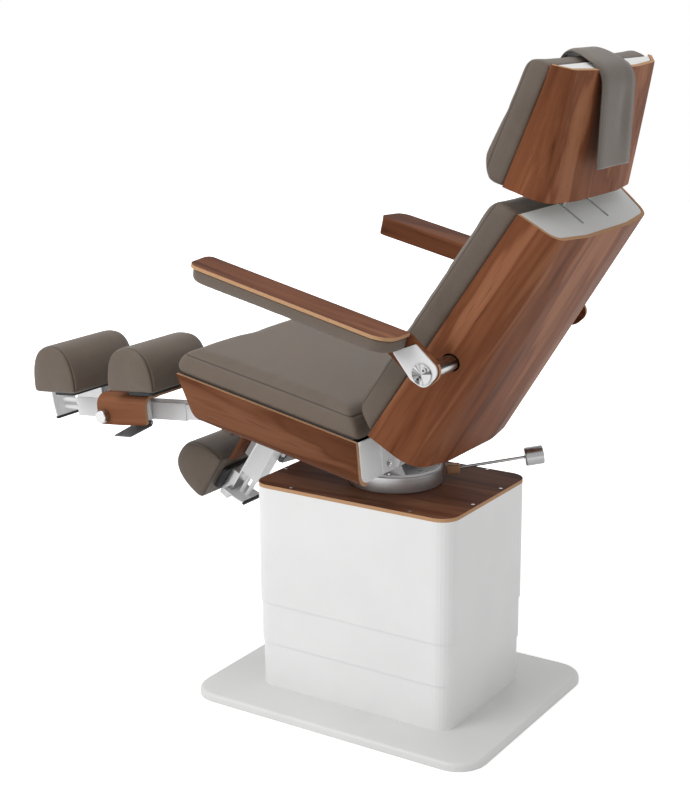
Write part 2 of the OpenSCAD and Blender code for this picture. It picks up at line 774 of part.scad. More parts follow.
// Steel frame inside the backrest
back_rail_x = 125;
back_rail_w = 30;
back_rail_y0 = 14;
back_rail_y1 = 70;
rail_under_top = 116;
back_rail_top = back_l - rail_under_top;
bush_r = 24;
bush_in = 34;
carriage_y = 43;
carriage_under_top = 160;
carriage_z = back_l - carriage_under_top;
carriage_pin_r = 7;
pivot_y = to_back(from_seat(recline_sy, recline_sz)[0], from_seat(recline_sy, recline_sz)[1])[0];
pivot_z = to_back(from_seat(recline_sy, recline_sz)[0], from_seat(recline_sy, recline_sz)[1])[1];
lug_y = to_back(from_seat(recline_lug_sy, recline_lug_sz)[0],
                from_seat(recline_lug_sy, recline_lug_sz)[1])[0];
lug_z = to_back(from_seat(recline_lug_sy, recline_lug_sz)[0],
                from_seat(recline_lug_sy, recline_lug_sz)[1])[1];

module back_frame() color(dark) back_place() difference() {
  union() {
    both_sides(back_rail_x, back_rail_x + back_rail_w)
      translate([back_rail_y0, 36]) square([back_rail_y1 - back_rail_y0, back_rail_top - 36]);
    both_sides(back_lug_x, back_lug_x + lug_t) polygon(rounded(
      [[pivot_y - 13, pivot_z - 13], [pivot_y + 13, pivot_z - 13],
       [back_rail_y0 + 40, 36], [back_rail_y0 + 40, 60], [back_rail_y0, 60],
       [pivot_y - 13, pivot_z + 22]], [12, 12, 0, 0, 0, 3]));
    for (z = [36, 330])
      translate([-back_rail_x - over, back_rail_y0 + 6, z]) cube([2 * (back_rail_x + over), 40, 26]);
    for (s = [-1, 1])
      x_rod(s > 0 ? back_rail_x + back_rail_w - over : -back_hw + ply_t + bush_in,
            s > 0 ? back_hw - ply_t - bush_in : -back_rail_x - back_rail_w + over,
            arm_bore_y, arm_bore_z, bush_r);
    for (s = [-1, 1])
      side_slab(s * (eye_t / 2 + 6) - 4, s * (eye_t / 2 + 6) + 4) polygon(rounded(
        [[lug_y - 11, lug_z - 11], [lug_y + 11, lug_z - 11], [back_rail_y0 + 46, 50],
         [back_rail_y0 + 6, 50], [back_rail_y0 + 10, 30]], [10, 10, 0, 0, 0]));
    x_rod(-eye_t / 2 - 10, eye_t / 2 + 10, lug_y, lug_z, 5);
    both_sides(back_rail_x, back_rail_x + back_rail_w)
      translate([carriage_y - 20, carriage_z - 24]) square([40, 48]);
  }
  rotate_x_bore(pivot_y, pivot_z, recline_pin_r + run_gap);
  rotate_x_bore(carriage_y, carriage_z, carriage_pin_r + run_gap);
  for (s = [-1, 1])
    x_rod(s > 0 ? back_rail_x : -back_hw, s > 0 ? back_hw : -back_rail_x,
          arm_bore_y, arm_bore_z, arm_shaft_r + run_gap);
}

back_crown = 8;
// Side view in shares of the cushion's thickness and the shell's length, radii in thicknesses
back_cushion_shares = [[0, 0], [0, 0.9985], [-1, 0.9985], [-1.03, 0.71], [-1.03, 0.3],
                       [-1, 0.058], [-0.72, 0.028]];
back_cushion_r_shares = [0.05, 0.06, 0.37, 0, 0, 0.25, 0.16];
back_cushion_outline = rounded(
  [for (q = back_cushion_shares) [min(-soft_gap, q.x * back_cushion_t), q.y * back_l]],
  back_cushion_r_shares * back_cushion_t);

// Cushion that faces forward: the crowned pad turned so that its top looks along -Y
function turned(outline) = [for (p = outline) [p.y, -p.x]];

module front_pad(outline, centre, half, hw, r, crown) {
  rotate([90, 0, 0])
    crowned_pad(turned(outline), [centre.y, -centre.x], [half.y, half.x], hw, r, crown);
}

module back_cushion() color(taupe) back_place()
  front_pad(back_cushion_outline, [-back_cushion_t, back_l] / 2, [back_cushion_t, back_l] / 2,
            back_hw - cushion_side_in, cushion_side_r, back_crown);

// Headrest: its own frame stands on the shell's front bottom edge

head_fore = 63.4275;
head_gap = 19.4716;
head_at = from_back(-head_fore, back_l + head_gap);

module head_place() {
  translate([0, head_at.x, head_at.y]) rotate([-head_lean, 0, 0]) children();
}

head_low = [232, 90];
head_low_mid = 108;
head_top = [208, 31];
head_top_mid = 45;

function head_plan(z, t) =
  let (k = z / head_l)
  raise(shell_plan(head_hw, lerp(head_low, head_top, k), lerp(head_low_mid, head_top_mid, k),
                   lerp(70, 26, k), t), z);

module head_shell() color(walnut) head_place() difference() {
  loft([head_plan(0, 0), head_plan(head_l, 0)]);
  loft([head_plan(-over, ply_t), head_plan(head_l + over, ply_t)]);
  translate([-head_hw - over, -over, -over])
    cube([2 * (head_hw + over), over + 0.01, head_l + 2 * over]);
}

rod_r = 4.5;
rod_x = slot_x;
rod_depth = 66;
rod_in_head = 60;
rod_below = 300;
head_core_in = 2;

module head_core() color(white) head_place() difference() {
  intersection() {
    loft([head_plan(-over, ply_t + liner_gap), head_plan(head_l + over, ply_t + liner_gap)]);
    translate([-head_hw, 0, head_core_in])
      cube([2 * head_hw, 2 * head_low_mid, head_l - 2 * head_core_in]);
  }
  for (s = [-1, 1]) translate([s * rod_x, rod_depth, -over])
    cylinder(r = rod_r + run_gap, h = rod_in_head + over);
}

module head_rods() color(steel) head_place()
  for (s = [-1, 1]) translate([s * rod_x, rod_depth, -rod_below])
    cylinder(r = rod_r, h = rod_below + rod_in_head);

// Carriage in the backrest that holds the rods and swings on two pins
carriage_w = 2 * (back_rail_x - 2);
carriage_h = 60;
carriage_d = 34;

module head_carriage() color(dark) difference() {
  back_place() {
    translate([-carriage_w / 2, carriage_y - carriage_d / 2, carriage_z - carriage_h / 2])
      cube([carriage_w, carriage_d, carriage_h]);
    for (s = [-1, 1])
      x_rod(s > 0 ? carriage_w / 2 - over : -back_rail_x - back_rail_w,
            s > 0 ? back_rail_x + back_rail_w : -carriage_w / 2 + over,
            carriage_y, carriage_z, carriage_pin_r);
  }
  head_place() for (s = [-1, 1]) translate([s * rod_x, rod_depth, -rod_below])
    cylinder(r = rod_r + run_gap, h = rod_below);
}

head_crown = 7;
head_cushion_shares = [[0, -0.019], [0, 0.996], [-0.5, 0.996], [-0.967, 0.978], [-1, 0.637],
                       [-1.1, 0.12], [-0.7, -0.034]];
head_cushion_r_shares = [0.05, 0.07, 0.23, 0.27, 0, 0.6, 0.37];
head_cushion_outline = rounded(
  [for (q = head_cushion_shares) [min(-soft_gap, q.x * head_cushion_t), q.y * head_l]],
  head_cushion_r_shares * head_cushion_t);

module head_cushion() color(taupe) head_place()
  front_pad(head_cushion_outline, [-head_cushion_t / 2, head_l / 2 - 3],
            [head_cushion_t / 2 + 1, head_l / 2 + 4], head_hw - 1, 9, head_crown);

// Leather strap that hangs over the headrest and balances the neck pillow
strap_hw = 70;
strap_x = 20;
strap_t = 9;
strap_path = [[-86, 190], [-80, 232], [-70, 258], [-56, 270], [-32, 272], [0, 272], [30, 270.5],
              [43.8, 267.6], [53, 259], [75.3, 206.7], [98.7, 151.5], [122, 96.2], [135.3, 64.8]];

// Points beside a path at a signed distance
function beside(path, d) =
  [for (i = [0:len(path) - 1])
    let (a = path[max(0, i - 1)], b = path[min(len(path) - 1, i + 1)],
         t = (b - a) / norm(b - a))
    path[i] + d * [-t.y, t.x]];

module head_strap() color(taupe) head_place()
  side_slab(strap_x - strap_hw, strap_x + strap_hw)
    polygon(concat(beside(strap_path, strap_t), [for (i = [len(strap_path) - 1:-1:0]) strap_path[i]]));

// Neck pillow in front of the headrest, hung from the strap
pillow_hw = 120;
pillow_outline = rounded([[-75, 98], [-75, 189.6], [-103, 189.6], [-111, 150], [-99, 96]],
                         [8, 8, 9, 50, 16]);

module neck_pillow() color(taupe) head_place()
  loft([for (s = pad_stations(pillow_hw, 24, 5, 4))
    pad_ring(pillow_outline, [-93, 143], [18, 47], s[0], pillow_hw, 12 * s[1], 0)]);

// Armrests: their own frame starts at the inner front top edge

arm_y = arm_rear.x - arm_l * cos(arm_pitch);
arm_z = arm_rear.y + arm_l * sin(arm_pitch);

module arm_place(side) {
  mirror([side < 0 ? 1 : 0, 0, 0])
    translate([arm_x, arm_y, arm_z]) rotate([-arm_pitch, 0, 0]) children();
}

function to_arm(y, z) =
  let (dy = y - arm_y, dz = z - arm_z)
  [dy * cos(arm_pitch) - dz * sin(arm_pitch), dy * sin(arm_pitch) + dz * cos(arm_pitch)];

arm_piv = to_arm(arm_pivot[0], arm_pivot[1]);
arm_ply = 8;
arm_flange = 46;
paddle_r = 29;

// Inner cheek of an armrest with the paddle that takes the shaft
arm_cheek_outline = rounded(
  [[0, 0], [arm_l - 6, 0], [arm_piv.x + 20 + paddle_r, arm_piv.y + 20],
   [arm_piv.x + 12, arm_piv.y - paddle_r - 4], [arm_piv.x - 26, arm_piv.y - paddle_r + 8],
   [arm_l - 70, -arm_flange], [0, -arm_flange]],
  [0, 16, paddle_r - 3, paddle_r - 3, paddle_r - 6, 40, 18]);

arm_front_r = 24;
arm_outer_r = 30;
arm_rear_r = 46;
arm_front_in = 14;
arm_top_outline = rounded([[0, 0], [arm_w, arm_front_in], [arm_w, arm_l], [0, arm_l]],
                          [arm_front_r, arm_outer_r, arm_rear_r, 4]);

// Plan that trims the cheek's front corner like the top's
arm_trim_outline = rounded([[0, 0], [arm_w, arm_front_in], [arm_w, 2 * arm_l], [0, 2 * arm_l]],
                           [arm_front_r, arm_outer_r, 0, 0]);

module arm_rest(side) color(walnut) arm_place(side) difference() {
  union() {
    translate([0, 0, -arm_ply]) linear_extrude(arm_ply) intersection() {
      polygon(arm_top_outline);
      square([arm_w, arm_l - 6 - arm_ply]);
    }
    translate([0, 0, -arm_ply]) linear_extrude(arm_ply) difference() {
      polygon(arm_top_outline);
      square([arm_ply, arm_l + over]);
    }
    intersection() {
      side_slab(0, arm_ply) polygon(arm_cheek_outline);
      translate([0, 0, -arm_l]) linear_extrude(2 * arm_l) polygon(arm_trim_outline);
    }
  }
  translate([0, -over, 0]) rotate([-90, 0, 0]) linear_extrude(arm_l + 2 * over) difference() {
    translate([-over, -over]) square([arm_bend_r + over, arm_bend_r + over]);
    translate([arm_bend_r, arm_bend_r]) circle(arm_bend_r);
  }
  x_rod(-over, arm_ply + over, arm_piv.x, arm_piv.y, arm_shaft_r + run_gap);
}

arm_bend_r = 7;

// Padding under the top and outside the cheek
arm_pad_h = 31;
arm_pad_outline = rounded([[arm_ply + 1, 3], [arm_w - 2, arm_front_in + 3], [arm_w - 2, arm_l - 3],
                           [arm_ply + 1, arm_l + 4]],
                          [arm_front_r - 3, arm_outer_r, arm_rear_r, arm_ply]);

module arm_pad(side) color(taupe) arm_place(side) loft([
  for (s = [[0, 8, 0], [30, 3, 0], [60, 1, 0], [90, 0, 0], [90, 0, 1]])
    let (in = s[1], z = s[2] == 1 ? -arm_ply - soft_gap :
           -arm_ply - arm_pad_h + 10 * (1 - cos(s[0])))
    [for (p = arm_pad_outline)
      let (c = [arm_w / 2 + 4, arm_l / 2])
      [c.x + (p.x - c.x) * (1 - in / (arm_w / 2)), c.y + (p.y - c.y) * (1 - in / (arm_l / 2)), z]]]);

// White plate outside the paddle
arm_plate_t = 5;
// Corners and radii of the plate, from the shaft, in radii of the paddle
arm_plate_shares = [[-2.5, 0.2], [-1.45, 1.2], [-0.35, 1.2], [1.1, 0.25], [0.75, -1], [-0.65, -1]];
arm_plate_r_shares = [0.1, 0.1, 0.4, 0.6, 0.7, 0.65];
arm_plate_outline = rounded([for (q = arm_plate_shares) arm_piv + q * paddle_r],
                            arm_plate_r_shares * paddle_r);

module arm_plate(side) color(white) arm_place(side) difference() {
  side_slab(arm_ply, arm_ply + arm_plate_t) polygon(arm_plate_outline);
  x_rod(0, arm_ply + 2 * over, arm_piv.x, arm_piv.y, arm_shaft_r + run_gap);
}

// Shaft with its end disc and two screws
arm_disc_r = 23;
arm_disc_t = 4;
arm_screw_d = 11;

module arm_shaft(side) color(steel) arm_place(side) difference() {
  union() {
    x_rod(back_rail_x + 12 - arm_x, arm_ply + arm_plate_t, arm_piv.x, arm_piv.y, arm_shaft_r);
    x_rod(arm_ply + arm_plate_t, arm_ply + arm_plate_t + arm_disc_t, arm_piv.x, arm_piv.y,
          arm_disc_r);
    for (s = [-1, 1])
      x_rod(arm_ply + arm_plate_t, arm_ply + arm_plate_t + arm_disc_t + 3,
            arm_piv.x + s * arm_screw_d * 0.4, arm_piv.y + s * arm_screw_d, 6);
  }
  for (s = [-1, 1])
    translate([arm_ply + arm_plate_t + arm_disc_t - 1, arm_piv.x + s * arm_screw_d * 0.4,
               arm_piv.y + s * arm_screw_d]) rotate([0, 90, 0])
      cylinder(r = 3, h = over, $fn = 6);
}

// Leg rests: their own frame has the pivot at its origin and runs out along -Y

leg_pivot = from_seat(leg_sy, leg_sz);

module leg_place(side) {
  slope = side > 0 ? left_slope : right_slope;
  mirror([side < 0 ? 1 : 0, 0, 0])
    translate([leg_x, leg_pivot.x, leg_pivot.y]) rotate([slope, 0, 0]) children();
}

function calf_out(side) = side > 0 ? left_calf_out : 0;
function end_out(side) = side > 0 ? left_calf_out + left_end_out : 0;
function foot_out(side) = side > 0 ? left_calf_out + left_foot_out : 0;

// The fixed tube is the inner one, the tube of the end plate the outer one
leg_drop = 28.5;
leg_tube_w = 50;
leg_tube_h = 51;
leg_wall = 2.5;
leg_gap = 0.5;
leg_arm_y0 = 30;
leg_arm_y1 = 270;
slide_y0 = 60;
slide_y1 = 280;
sleeve_y1 = 287;

// Square tube along -Y, stage 0 the outer one
module leg_tube(stage, y0, y1) {
  w = leg_tube_w - 2 * stage * (leg_wall + leg_gap);
  h = leg_tube_h - 2 * stage * (leg_wall + leg_gap);
  translate([0, -y0, -leg_drop]) rotate([90, 0, 0]) linear_extrude(y1 - y0) difference() {
    square([w, h], center = true);
    square([w - 2 * leg_wall, h - 2 * leg_wall], center = true);
  }
}

barrel_r = 17;
cheek_leg_t = 9;

module leg_arm(side) color(white) leg_place(side) difference() {
  w = leg_tube_w - 4 * (leg_wall + leg_gap);
  h = leg_tube_h - 4 * (leg_wall + leg_gap);
  union() {
    leg_tube(2, leg_arm_y0, leg_arm_y1);
    for (s = [-1, 1])
      side_slab(s * (w - cheek_leg_t) / 2 - cheek_leg_t / 2 + s * 4,
                s * (w - cheek_leg_t) / 2 + cheek_leg_t / 2 + s * 4)
        polygon(rounded(
          [[barrel_r, barrel_r], [barrel_r, -barrel_r], [-8, -leg_drop - h / 2 - 2],
           [-slide_y0 + 6, -leg_drop - h / 2 - 2], [-slide_y0 + 6, -leg_drop + h / 2 + 2],
           [-barrel_r, barrel_r]], [barrel_r - 1, barrel_r - 1, 6, 0, 8, barrel_r - 1]));
  }
  x_rod(-leg_tube_w, leg_tube_w, 0, 0, leg_pin_r + run_gap);
  translate([0, -leg_arm_y0 - over, -leg_drop]) rotate([90, 0, 0]) linear_extrude(leg_arm_y1)
    square([w - 2 * leg_wall, h - 2 * leg_wall], center = true);
}

stem_w = 16;
stem_y0 = 200;
stem_y1 = 250;
web_z = 24;
web_t = 9;
knob_y = 236;
knob_z = -20;
knob_rod_r = 5;
hanger_x = 30;
hanger_t = 5;
hanger_y0 = 166;
hanger_y1 = 222;
paddle_z = -58;
paddle_pin_r = 3;

// Middle tube with the stem under the bracket and the hanger of the release paddle
module leg_slide(side) color(white) leg_place(side) translate([0, -calf_out(side), 0]) {
  h = leg_tube_h - 2 * (leg_wall + leg_gap);
  leg_tube(1, slide_y0, slide_y1);
  side_slab(-stem_w / 2, stem_w / 2)
    translate([-stem_y1, -leg_drop + h / 2 - 1])
      square([stem_y1 - stem_y0, leg_drop - h / 2 + 1 + web_z - soft_gap]);
  side_slab(-stem_w / 2, hanger_x + hanger_t)
    translate([-stem_y1, web_z - hanger_t - soft_gap]) square([stem_y1 - hanger_y0, hanger_t]);
  side_slab(hanger_x, hanger_x + hanger_t) {
    translate([-hanger_y1, paddle_z + hanger_t + 2])
      square([hanger_y1 - hanger_y0, web_z - soft_gap - paddle_z - hanger_t - 2]);
    translate([-hanger_y1 + 20, paddle_z])
      square([hanger_y1 - hanger_y0 - 40, 2 * hanger_t]);
  }
  translate([hanger_x + hanger_t / 2, -hanger_y0 - 20, paddle_z]) rotate([90, 0, 0])
    cylinder(r = hanger_t + 1, h = hanger_y1 - hanger_y0 - 40);
  translate([hanger_x + hanger_t / 2, -hanger_y0, paddle_z]) rotate([90, 0, 0])
    cylinder(r = paddle_pin_r, h = hanger_y1 - hanger_y0);
}

// Dark plate that hangs on the hanger's pin
paddle_t = 3;
paddle_reach = 88;
paddle_drop = 15;
module leg_paddle(side) color(dark) leg_place(side)
  translate([hanger_x + hanger_t / 2, -calf_out(side), paddle_z]) difference() {
    union() {
      for (y = [hanger_y0 + 1, hanger_y1 - 19])
        translate([0, -y, 0]) rotate([90, 0, 0]) cylinder(r = hanger_t + 1, h = 18);
      translate([0, -hanger_y0 - 1, 0]) rotate([90, 0, 0])
        linear_extrude(hanger_y1 - hanger_y0 - 2) polygon(
          [[0, -hanger_t - 1], [hanger_t, -hanger_t + 1], [paddle_reach, -paddle_drop],
           [paddle_reach, -paddle_drop - paddle_t], [0, -hanger_t - 1 - paddle_t]]);
    }
    translate([0, -hanger_y0 + over, 0]) rotate([90, 0, 0])
      cylinder(r = paddle_pin_r + run_gap, h = hanger_y1 - hanger_y0 + 2 * over);
    translate([0, -hanger_y0 - 19.5, 0]) rotate([90, 0, 0])
      cylinder(r = hanger_t + 1 + soft_gap, h = hanger_y1 - hanger_y0 - 39);
    translate([-hanger_t, -hanger_y1 + 19, -hanger_t - 1 - over])
      cube([2 * hanger_t, hanger_y1 - hanger_y0 - 38, hanger_t + over]);
  }

flange_x = 222;
bracket_bend_r = 30;
bracket_y0 = 100;
bracket_y1 = 260;
flange_low = -43;

// Bent plywood bracket: a web under the calf pad and a flange on the outer side
module calf_bracket(side) color(walnut) leg_place(side)
  translate([-leg_x, -calf_out(side), 0]) difference() {
    translate([0, -bracket_y0, 0]) rotate([90, 0, 0]) linear_extrude(bracket_y1 - bracket_y0)
      difference() {
        polygon(rounded([[34, web_z + web_t], [34, web_z], [flange_x - web_t, web_z],
                         [flange_x - web_t, flange_low], [flange_x, flange_low],
                         [flange_x, web_z + web_t]],
                        [0, 0, bracket_bend_r - web_t, 0, 0, bracket_bend_r]));
      }
    side_slab(flange_x - 2 * web_t, flange_x + over) difference() {
      translate([-bracket_y1 - over, flange_low - over])
        square([bracket_y1 - bracket_y0 + 2 * over, web_z - flange_low - 18]);
      polygon(rounded([[-bracket_y1, web_z + web_t], [-bracket_y1, flange_low - 4],
                       [-bracket_y0, flange_low + 4], [-bracket_y0, web_z + web_t]],
                      [0, 22, 6, 0]));
    }
    x_rod(flange_x - 2 * web_t, flange_x + over, -knob_y, knob_z, knob_rod_r + run_gap);
  }

module leg_knob(side) color(steel) leg_place(side)
  translate([-leg_x, -calf_out(side), 0]) {
    x_rod(leg_x + leg_tube_w / 2 + 1, flange_x + 2, -knob_y, knob_z, knob_rod_r);
    translate([flange_x + soft_gap, -knob_y, knob_z]) rotate([0, 90, 0]) rotate_extrude()
      polygon(rounded([[0, 0], [17, 0], [17, 20], [0, 20]], [0, 2, 3, 0]));
  }

// D-shaped roll: rings across, rounded at both ends
function roll_outline(y0, w, z0, h, e, f) =
  [for (i = [0:24])
    let (t = 180 * i / 24)
    [-(y0 + w / 2) + w / 2 * pow(abs(cos(t)), e) * sign(cos(t)),
     z0 + h * pow(sin(t), f)]];

// The roll stands on a dark set-back board
pad_in = 3;
board_in = 40;

module roll_pad(wide, y0, w, z0, h, board) {
  outline = roll_outline(y0, w, z0, h, 0.72, 0.9);
  translate([pad_in + wide / 2 - leg_x, 0, 0]) {
    loft([for (s = pad_stations(wide / 2, roll_end_r, 4, 3))
      pad_ring(outline, [-(y0 + w / 2), z0 + h / 2], [w / 2, h / 2], s[0], wide / 2,
               roll_end_r * s[1], 0)]);
    translate([-wide / 2 + board_in, -y0 - w + board_in, z0 - board])
      cube([wide - 2 * board_in, w - 2 * board_in, board + over]);
  }
}

roll_end_r = 9;
calf_y0 = 44;
calf_w = 158;
calf_z = 46;
calf_h = 118;
foot_y0 = 262;
foot_pad_w = pad_w + 11;
foot_w = 150;
foot_z = 36;
foot_h = 128;

module calf_pad(side) color(taupe) leg_place(side) translate([0, -calf_out(side), 0])
  roll_pad(pad_w, calf_y0, calf_w, calf_z, calf_h, calf_z - web_z - web_t - soft_gap);

module foot_pad(side) color(taupe) leg_place(side) translate([0, -foot_out(side), 0])
  roll_pad(foot_pad_w, foot_y0, foot_w, foot_z, foot_h, foot_board);

foot_board = 10;
carrier_t2 = 5;
carrier_y0 = 150;
carrier_y1 = 390;
carrier_x0 = 11;
carrier_x1 = 24;

// Two strips beside the stem, under the board of the foot pad
module foot_carrier(side) color(steel) leg_place(side) translate([0, -foot_out(side), 0]) {
  low = -leg_drop + leg_tube_h / 2 + soft_gap;
  high = foot_z - foot_board - soft_gap;
  both_sides(carrier_x0, carrier_x1)
    translate([-carrier_y1, low]) square([carrier_y1 - carrier_y0, carrier_t2]);
  translate([-carrier_x1, -carrier_y1, low])
    cube([2 * carrier_x1, carrier_y1 - foot_y0 - board_in, high - low]);
}

end_y = 358;
end_t = 4;
end_hw = 42;
end_top = 12;
end_low = -58;
end_bow_r = 250;
rail_rod_r = 6;

// Outer tube, two rods and the curved end plate
module foot_slide(side) color(white) leg_place(side) translate([0, -end_out(side), 0]) {
  difference() {
    union() {
      leg_tube(0, slide_y0, sleeve_y1);
      translate([-leg_tube_w / 2, -sleeve_y1, -leg_drop - leg_tube_h / 2])
        cube([leg_tube_w, 5, leg_tube_h]);
    }
    translate([-stem_w / 2 - 2, -stem_y1 - 8, -leg_drop + leg_tube_h / 2 - 2 * leg_wall])
      cube([stem_w + 4, stem_y1 + 8, 4 * leg_wall]);
  }
  for (z = [-leg_drop + 10, -leg_drop - 10]) translate([0, -sleeve_y1 + 2, z])
    rotate([90, 0, 0]) cylinder(r = rail_rod_r, h = end_y + end_t / 2 - sleeve_y1 + 2);
  difference() {
    side_slab(-end_hw, end_hw) intersection() {
      translate([-end_y - end_t + end_bow_r, end_top]) difference() {
        circle(end_bow_r);
        circle(end_bow_r - end_t);
      }
      translate([-end_y - 3 * end_t, end_low]) square([40, end_top - end_low]);
    }
    translate([-carrier_x1 - 1, -end_y - 3 * end_t - over, -leg_drop + leg_tube_h / 2 - soft_gap])
      cube([2 * carrier_x1 + 2, 40 + 2 * over, 2 * end_top]);
  }
}

base_cover();
casing_lower();
column_lower();
lift_motor();
casing_middle();
column_middle();
casing_upper();
column_upper();
top_plate();
top_plate_screws();
brake_block();
brake_lever();
turntable_ring();
swivel_chassis();
swivel_screws();
seat_frame();
seat_shell();
seat_end_plate();
hinge_bolts();
seat_pivot_pins();
seat_cushion();
recline_actuator();
recline_rod();
back_frame();
back_shell();
back_core();
back_cushion();
head_carriage();
head_rods();
head_shell();
head_core();
head_cushion();
head_strap();
neck_pillow();
arm_rest(1);  // left_arm_rest
arm_pad(1);  // left_arm_pad
arm_plate(1);  // left_arm_plate
arm_shaft(1);  // left_arm_shaft
arm_rest(-1);  // right_arm_rest
arm_pad(-1);  // right_arm_pad
arm_plate(-1);  // right_arm_plate
arm_shaft(-1);  // right_arm_shaft
leg_arm(1);  // left_leg_arm
leg_slide(1);  // left_leg_slide
calf_bracket(1);  // left_calf_bracket
calf_pad(1);  // left_calf_pad
foot_slide(1);  // left_foot_slide
foot_carrier(1);  // left_foot_carrier
foot_pad(1);  // left_foot_pad
leg_knob(1);  // left_leg_knob
leg_paddle(1);  // left_leg_paddle
leg_arm(-1);  // right_leg_arm
leg_slide(-1);  // right_leg_slide
calf_bracket(-1);  // right_calf_bracket
calf_pad(-1);  // right_calf_pad
foot_slide(-1);  // right_foot_slide
foot_carrier(-1);  // right_foot_carrier
foot_pad(-1);  // right_foot_pad
leg_knob(-1);  // right_leg_knob
leg_paddle(-1);  // right_leg_paddle
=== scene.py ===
"""Podiatry treatment chair: leather pads, veneers, metals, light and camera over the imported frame.

Lengths are metres. The column stands on the origin, the sitter faces -Y, the sitter's left is +X.
"""
import math

import bpy
import numpy as np
from mathutils import Matrix, Vector


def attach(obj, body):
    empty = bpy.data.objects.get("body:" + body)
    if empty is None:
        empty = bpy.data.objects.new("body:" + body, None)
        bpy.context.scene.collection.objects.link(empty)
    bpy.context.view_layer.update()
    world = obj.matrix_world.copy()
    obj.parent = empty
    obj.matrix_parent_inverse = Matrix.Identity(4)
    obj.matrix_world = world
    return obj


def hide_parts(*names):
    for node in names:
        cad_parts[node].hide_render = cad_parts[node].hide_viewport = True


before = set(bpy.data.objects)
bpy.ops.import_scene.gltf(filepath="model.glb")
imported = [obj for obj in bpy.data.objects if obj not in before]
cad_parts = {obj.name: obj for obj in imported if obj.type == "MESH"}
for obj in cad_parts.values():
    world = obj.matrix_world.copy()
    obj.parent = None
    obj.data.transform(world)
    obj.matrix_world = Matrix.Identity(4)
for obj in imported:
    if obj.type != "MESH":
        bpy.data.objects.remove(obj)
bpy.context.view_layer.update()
scene = bpy.context.scene


class Place:
    """Own frame of a group of pieces: turned about X by some degrees, then moved, mirrored where side is -1."""

    def __init__(self, at, degrees, side=1):
        self.at, self.turn, self.side = at, math.radians(degrees), side

    def out(self, p):
        """Points of this frame in the chair's frame: (x, y cos - z sin, y sin + z cos) plus the origin."""
        p = np.asarray(p, float)
        c, s = math.cos(self.turn), math.sin(self.turn)
        q = np.stack([p[..., 0], p[..., 1] * c - p[..., 2] * s, p[..., 1] * s + p[..., 2] * c], -1)
        q = q + np.array(self.at)
        q[..., 0] *= self.side
        return q


LEG_PIVOT = (0.092, -0.35229, 0.71192)
ARM_FRONT, ARM_DEGREES = (0.360, -0.2568, 1.1327), -12.7
CHAIR = Place((0, 0, 0), 0)
SEAT = Place((0, 0.070, 0.717), -10.7)
BACK = Place((0, 0.100, 0.740), -34.7)
HEAD = Place((0, 0.421, 1.315), -22.9)
ARM = {"left": Place(ARM_FRONT, ARM_DEGREES), "right": Place(ARM_FRONT, ARM_DEGREES, -1)}
LEG = {"left": Place(LEG_PIVOT, 5.2), "right": Place(LEG_PIVOT, 57.6, -1)}

# How far each slide is pulled out at rest
CALF_OUT = {"left": 0.135, "right": 0.0}
FOOT_OUT = {"left": 0.170, "right": 0.0}
END_OUT = {"left": 0.276, "right": 0.0}


# Shader expressions

class Value:
    """A socket in an expression. Arithmetic on values adds Math nodes and gives a new value."""

    def __init__(self, paint, socket):
        self.paint, self.socket = paint, socket

    def math(self, operation, *others, clamp=False):
        return self.paint.math(operation, self, *others, clamp=clamp)

    def __add__(self, o):
        return self.math("ADD", o)

    def __radd__(self, o):
        return self.math("ADD", o)

    def __sub__(self, o):
        return self.math("SUBTRACT", o)

    def __rsub__(self, o):
        return self.paint.math("SUBTRACT", o, self)

    def __mul__(self, o):
        return self.math("MULTIPLY", o)

    def __rmul__(self, o):
        return self.math("MULTIPLY", o)

    def __truediv__(self, o):
        return self.math("DIVIDE", o)

    def __pow__(self, o):
        return self.math("POWER", o)

    def abs(self):
        return self.math("ABSOLUTE")

    def most(self, o):
        return self.math("MAXIMUM", o)

    def sin(self):
        return self.math("SINE")

    def step(self, low, high):
        """0 below low, 1 above high, and a smooth rise between."""
        n = self.paint.node("ShaderNodeMapRange", {"interpolation_type": "SMOOTHSTEP"},
                            {0: self, 1: low, 2: high, 3: 0.0, 4: 1.0})
        return Value(self.paint, n.outputs[0])


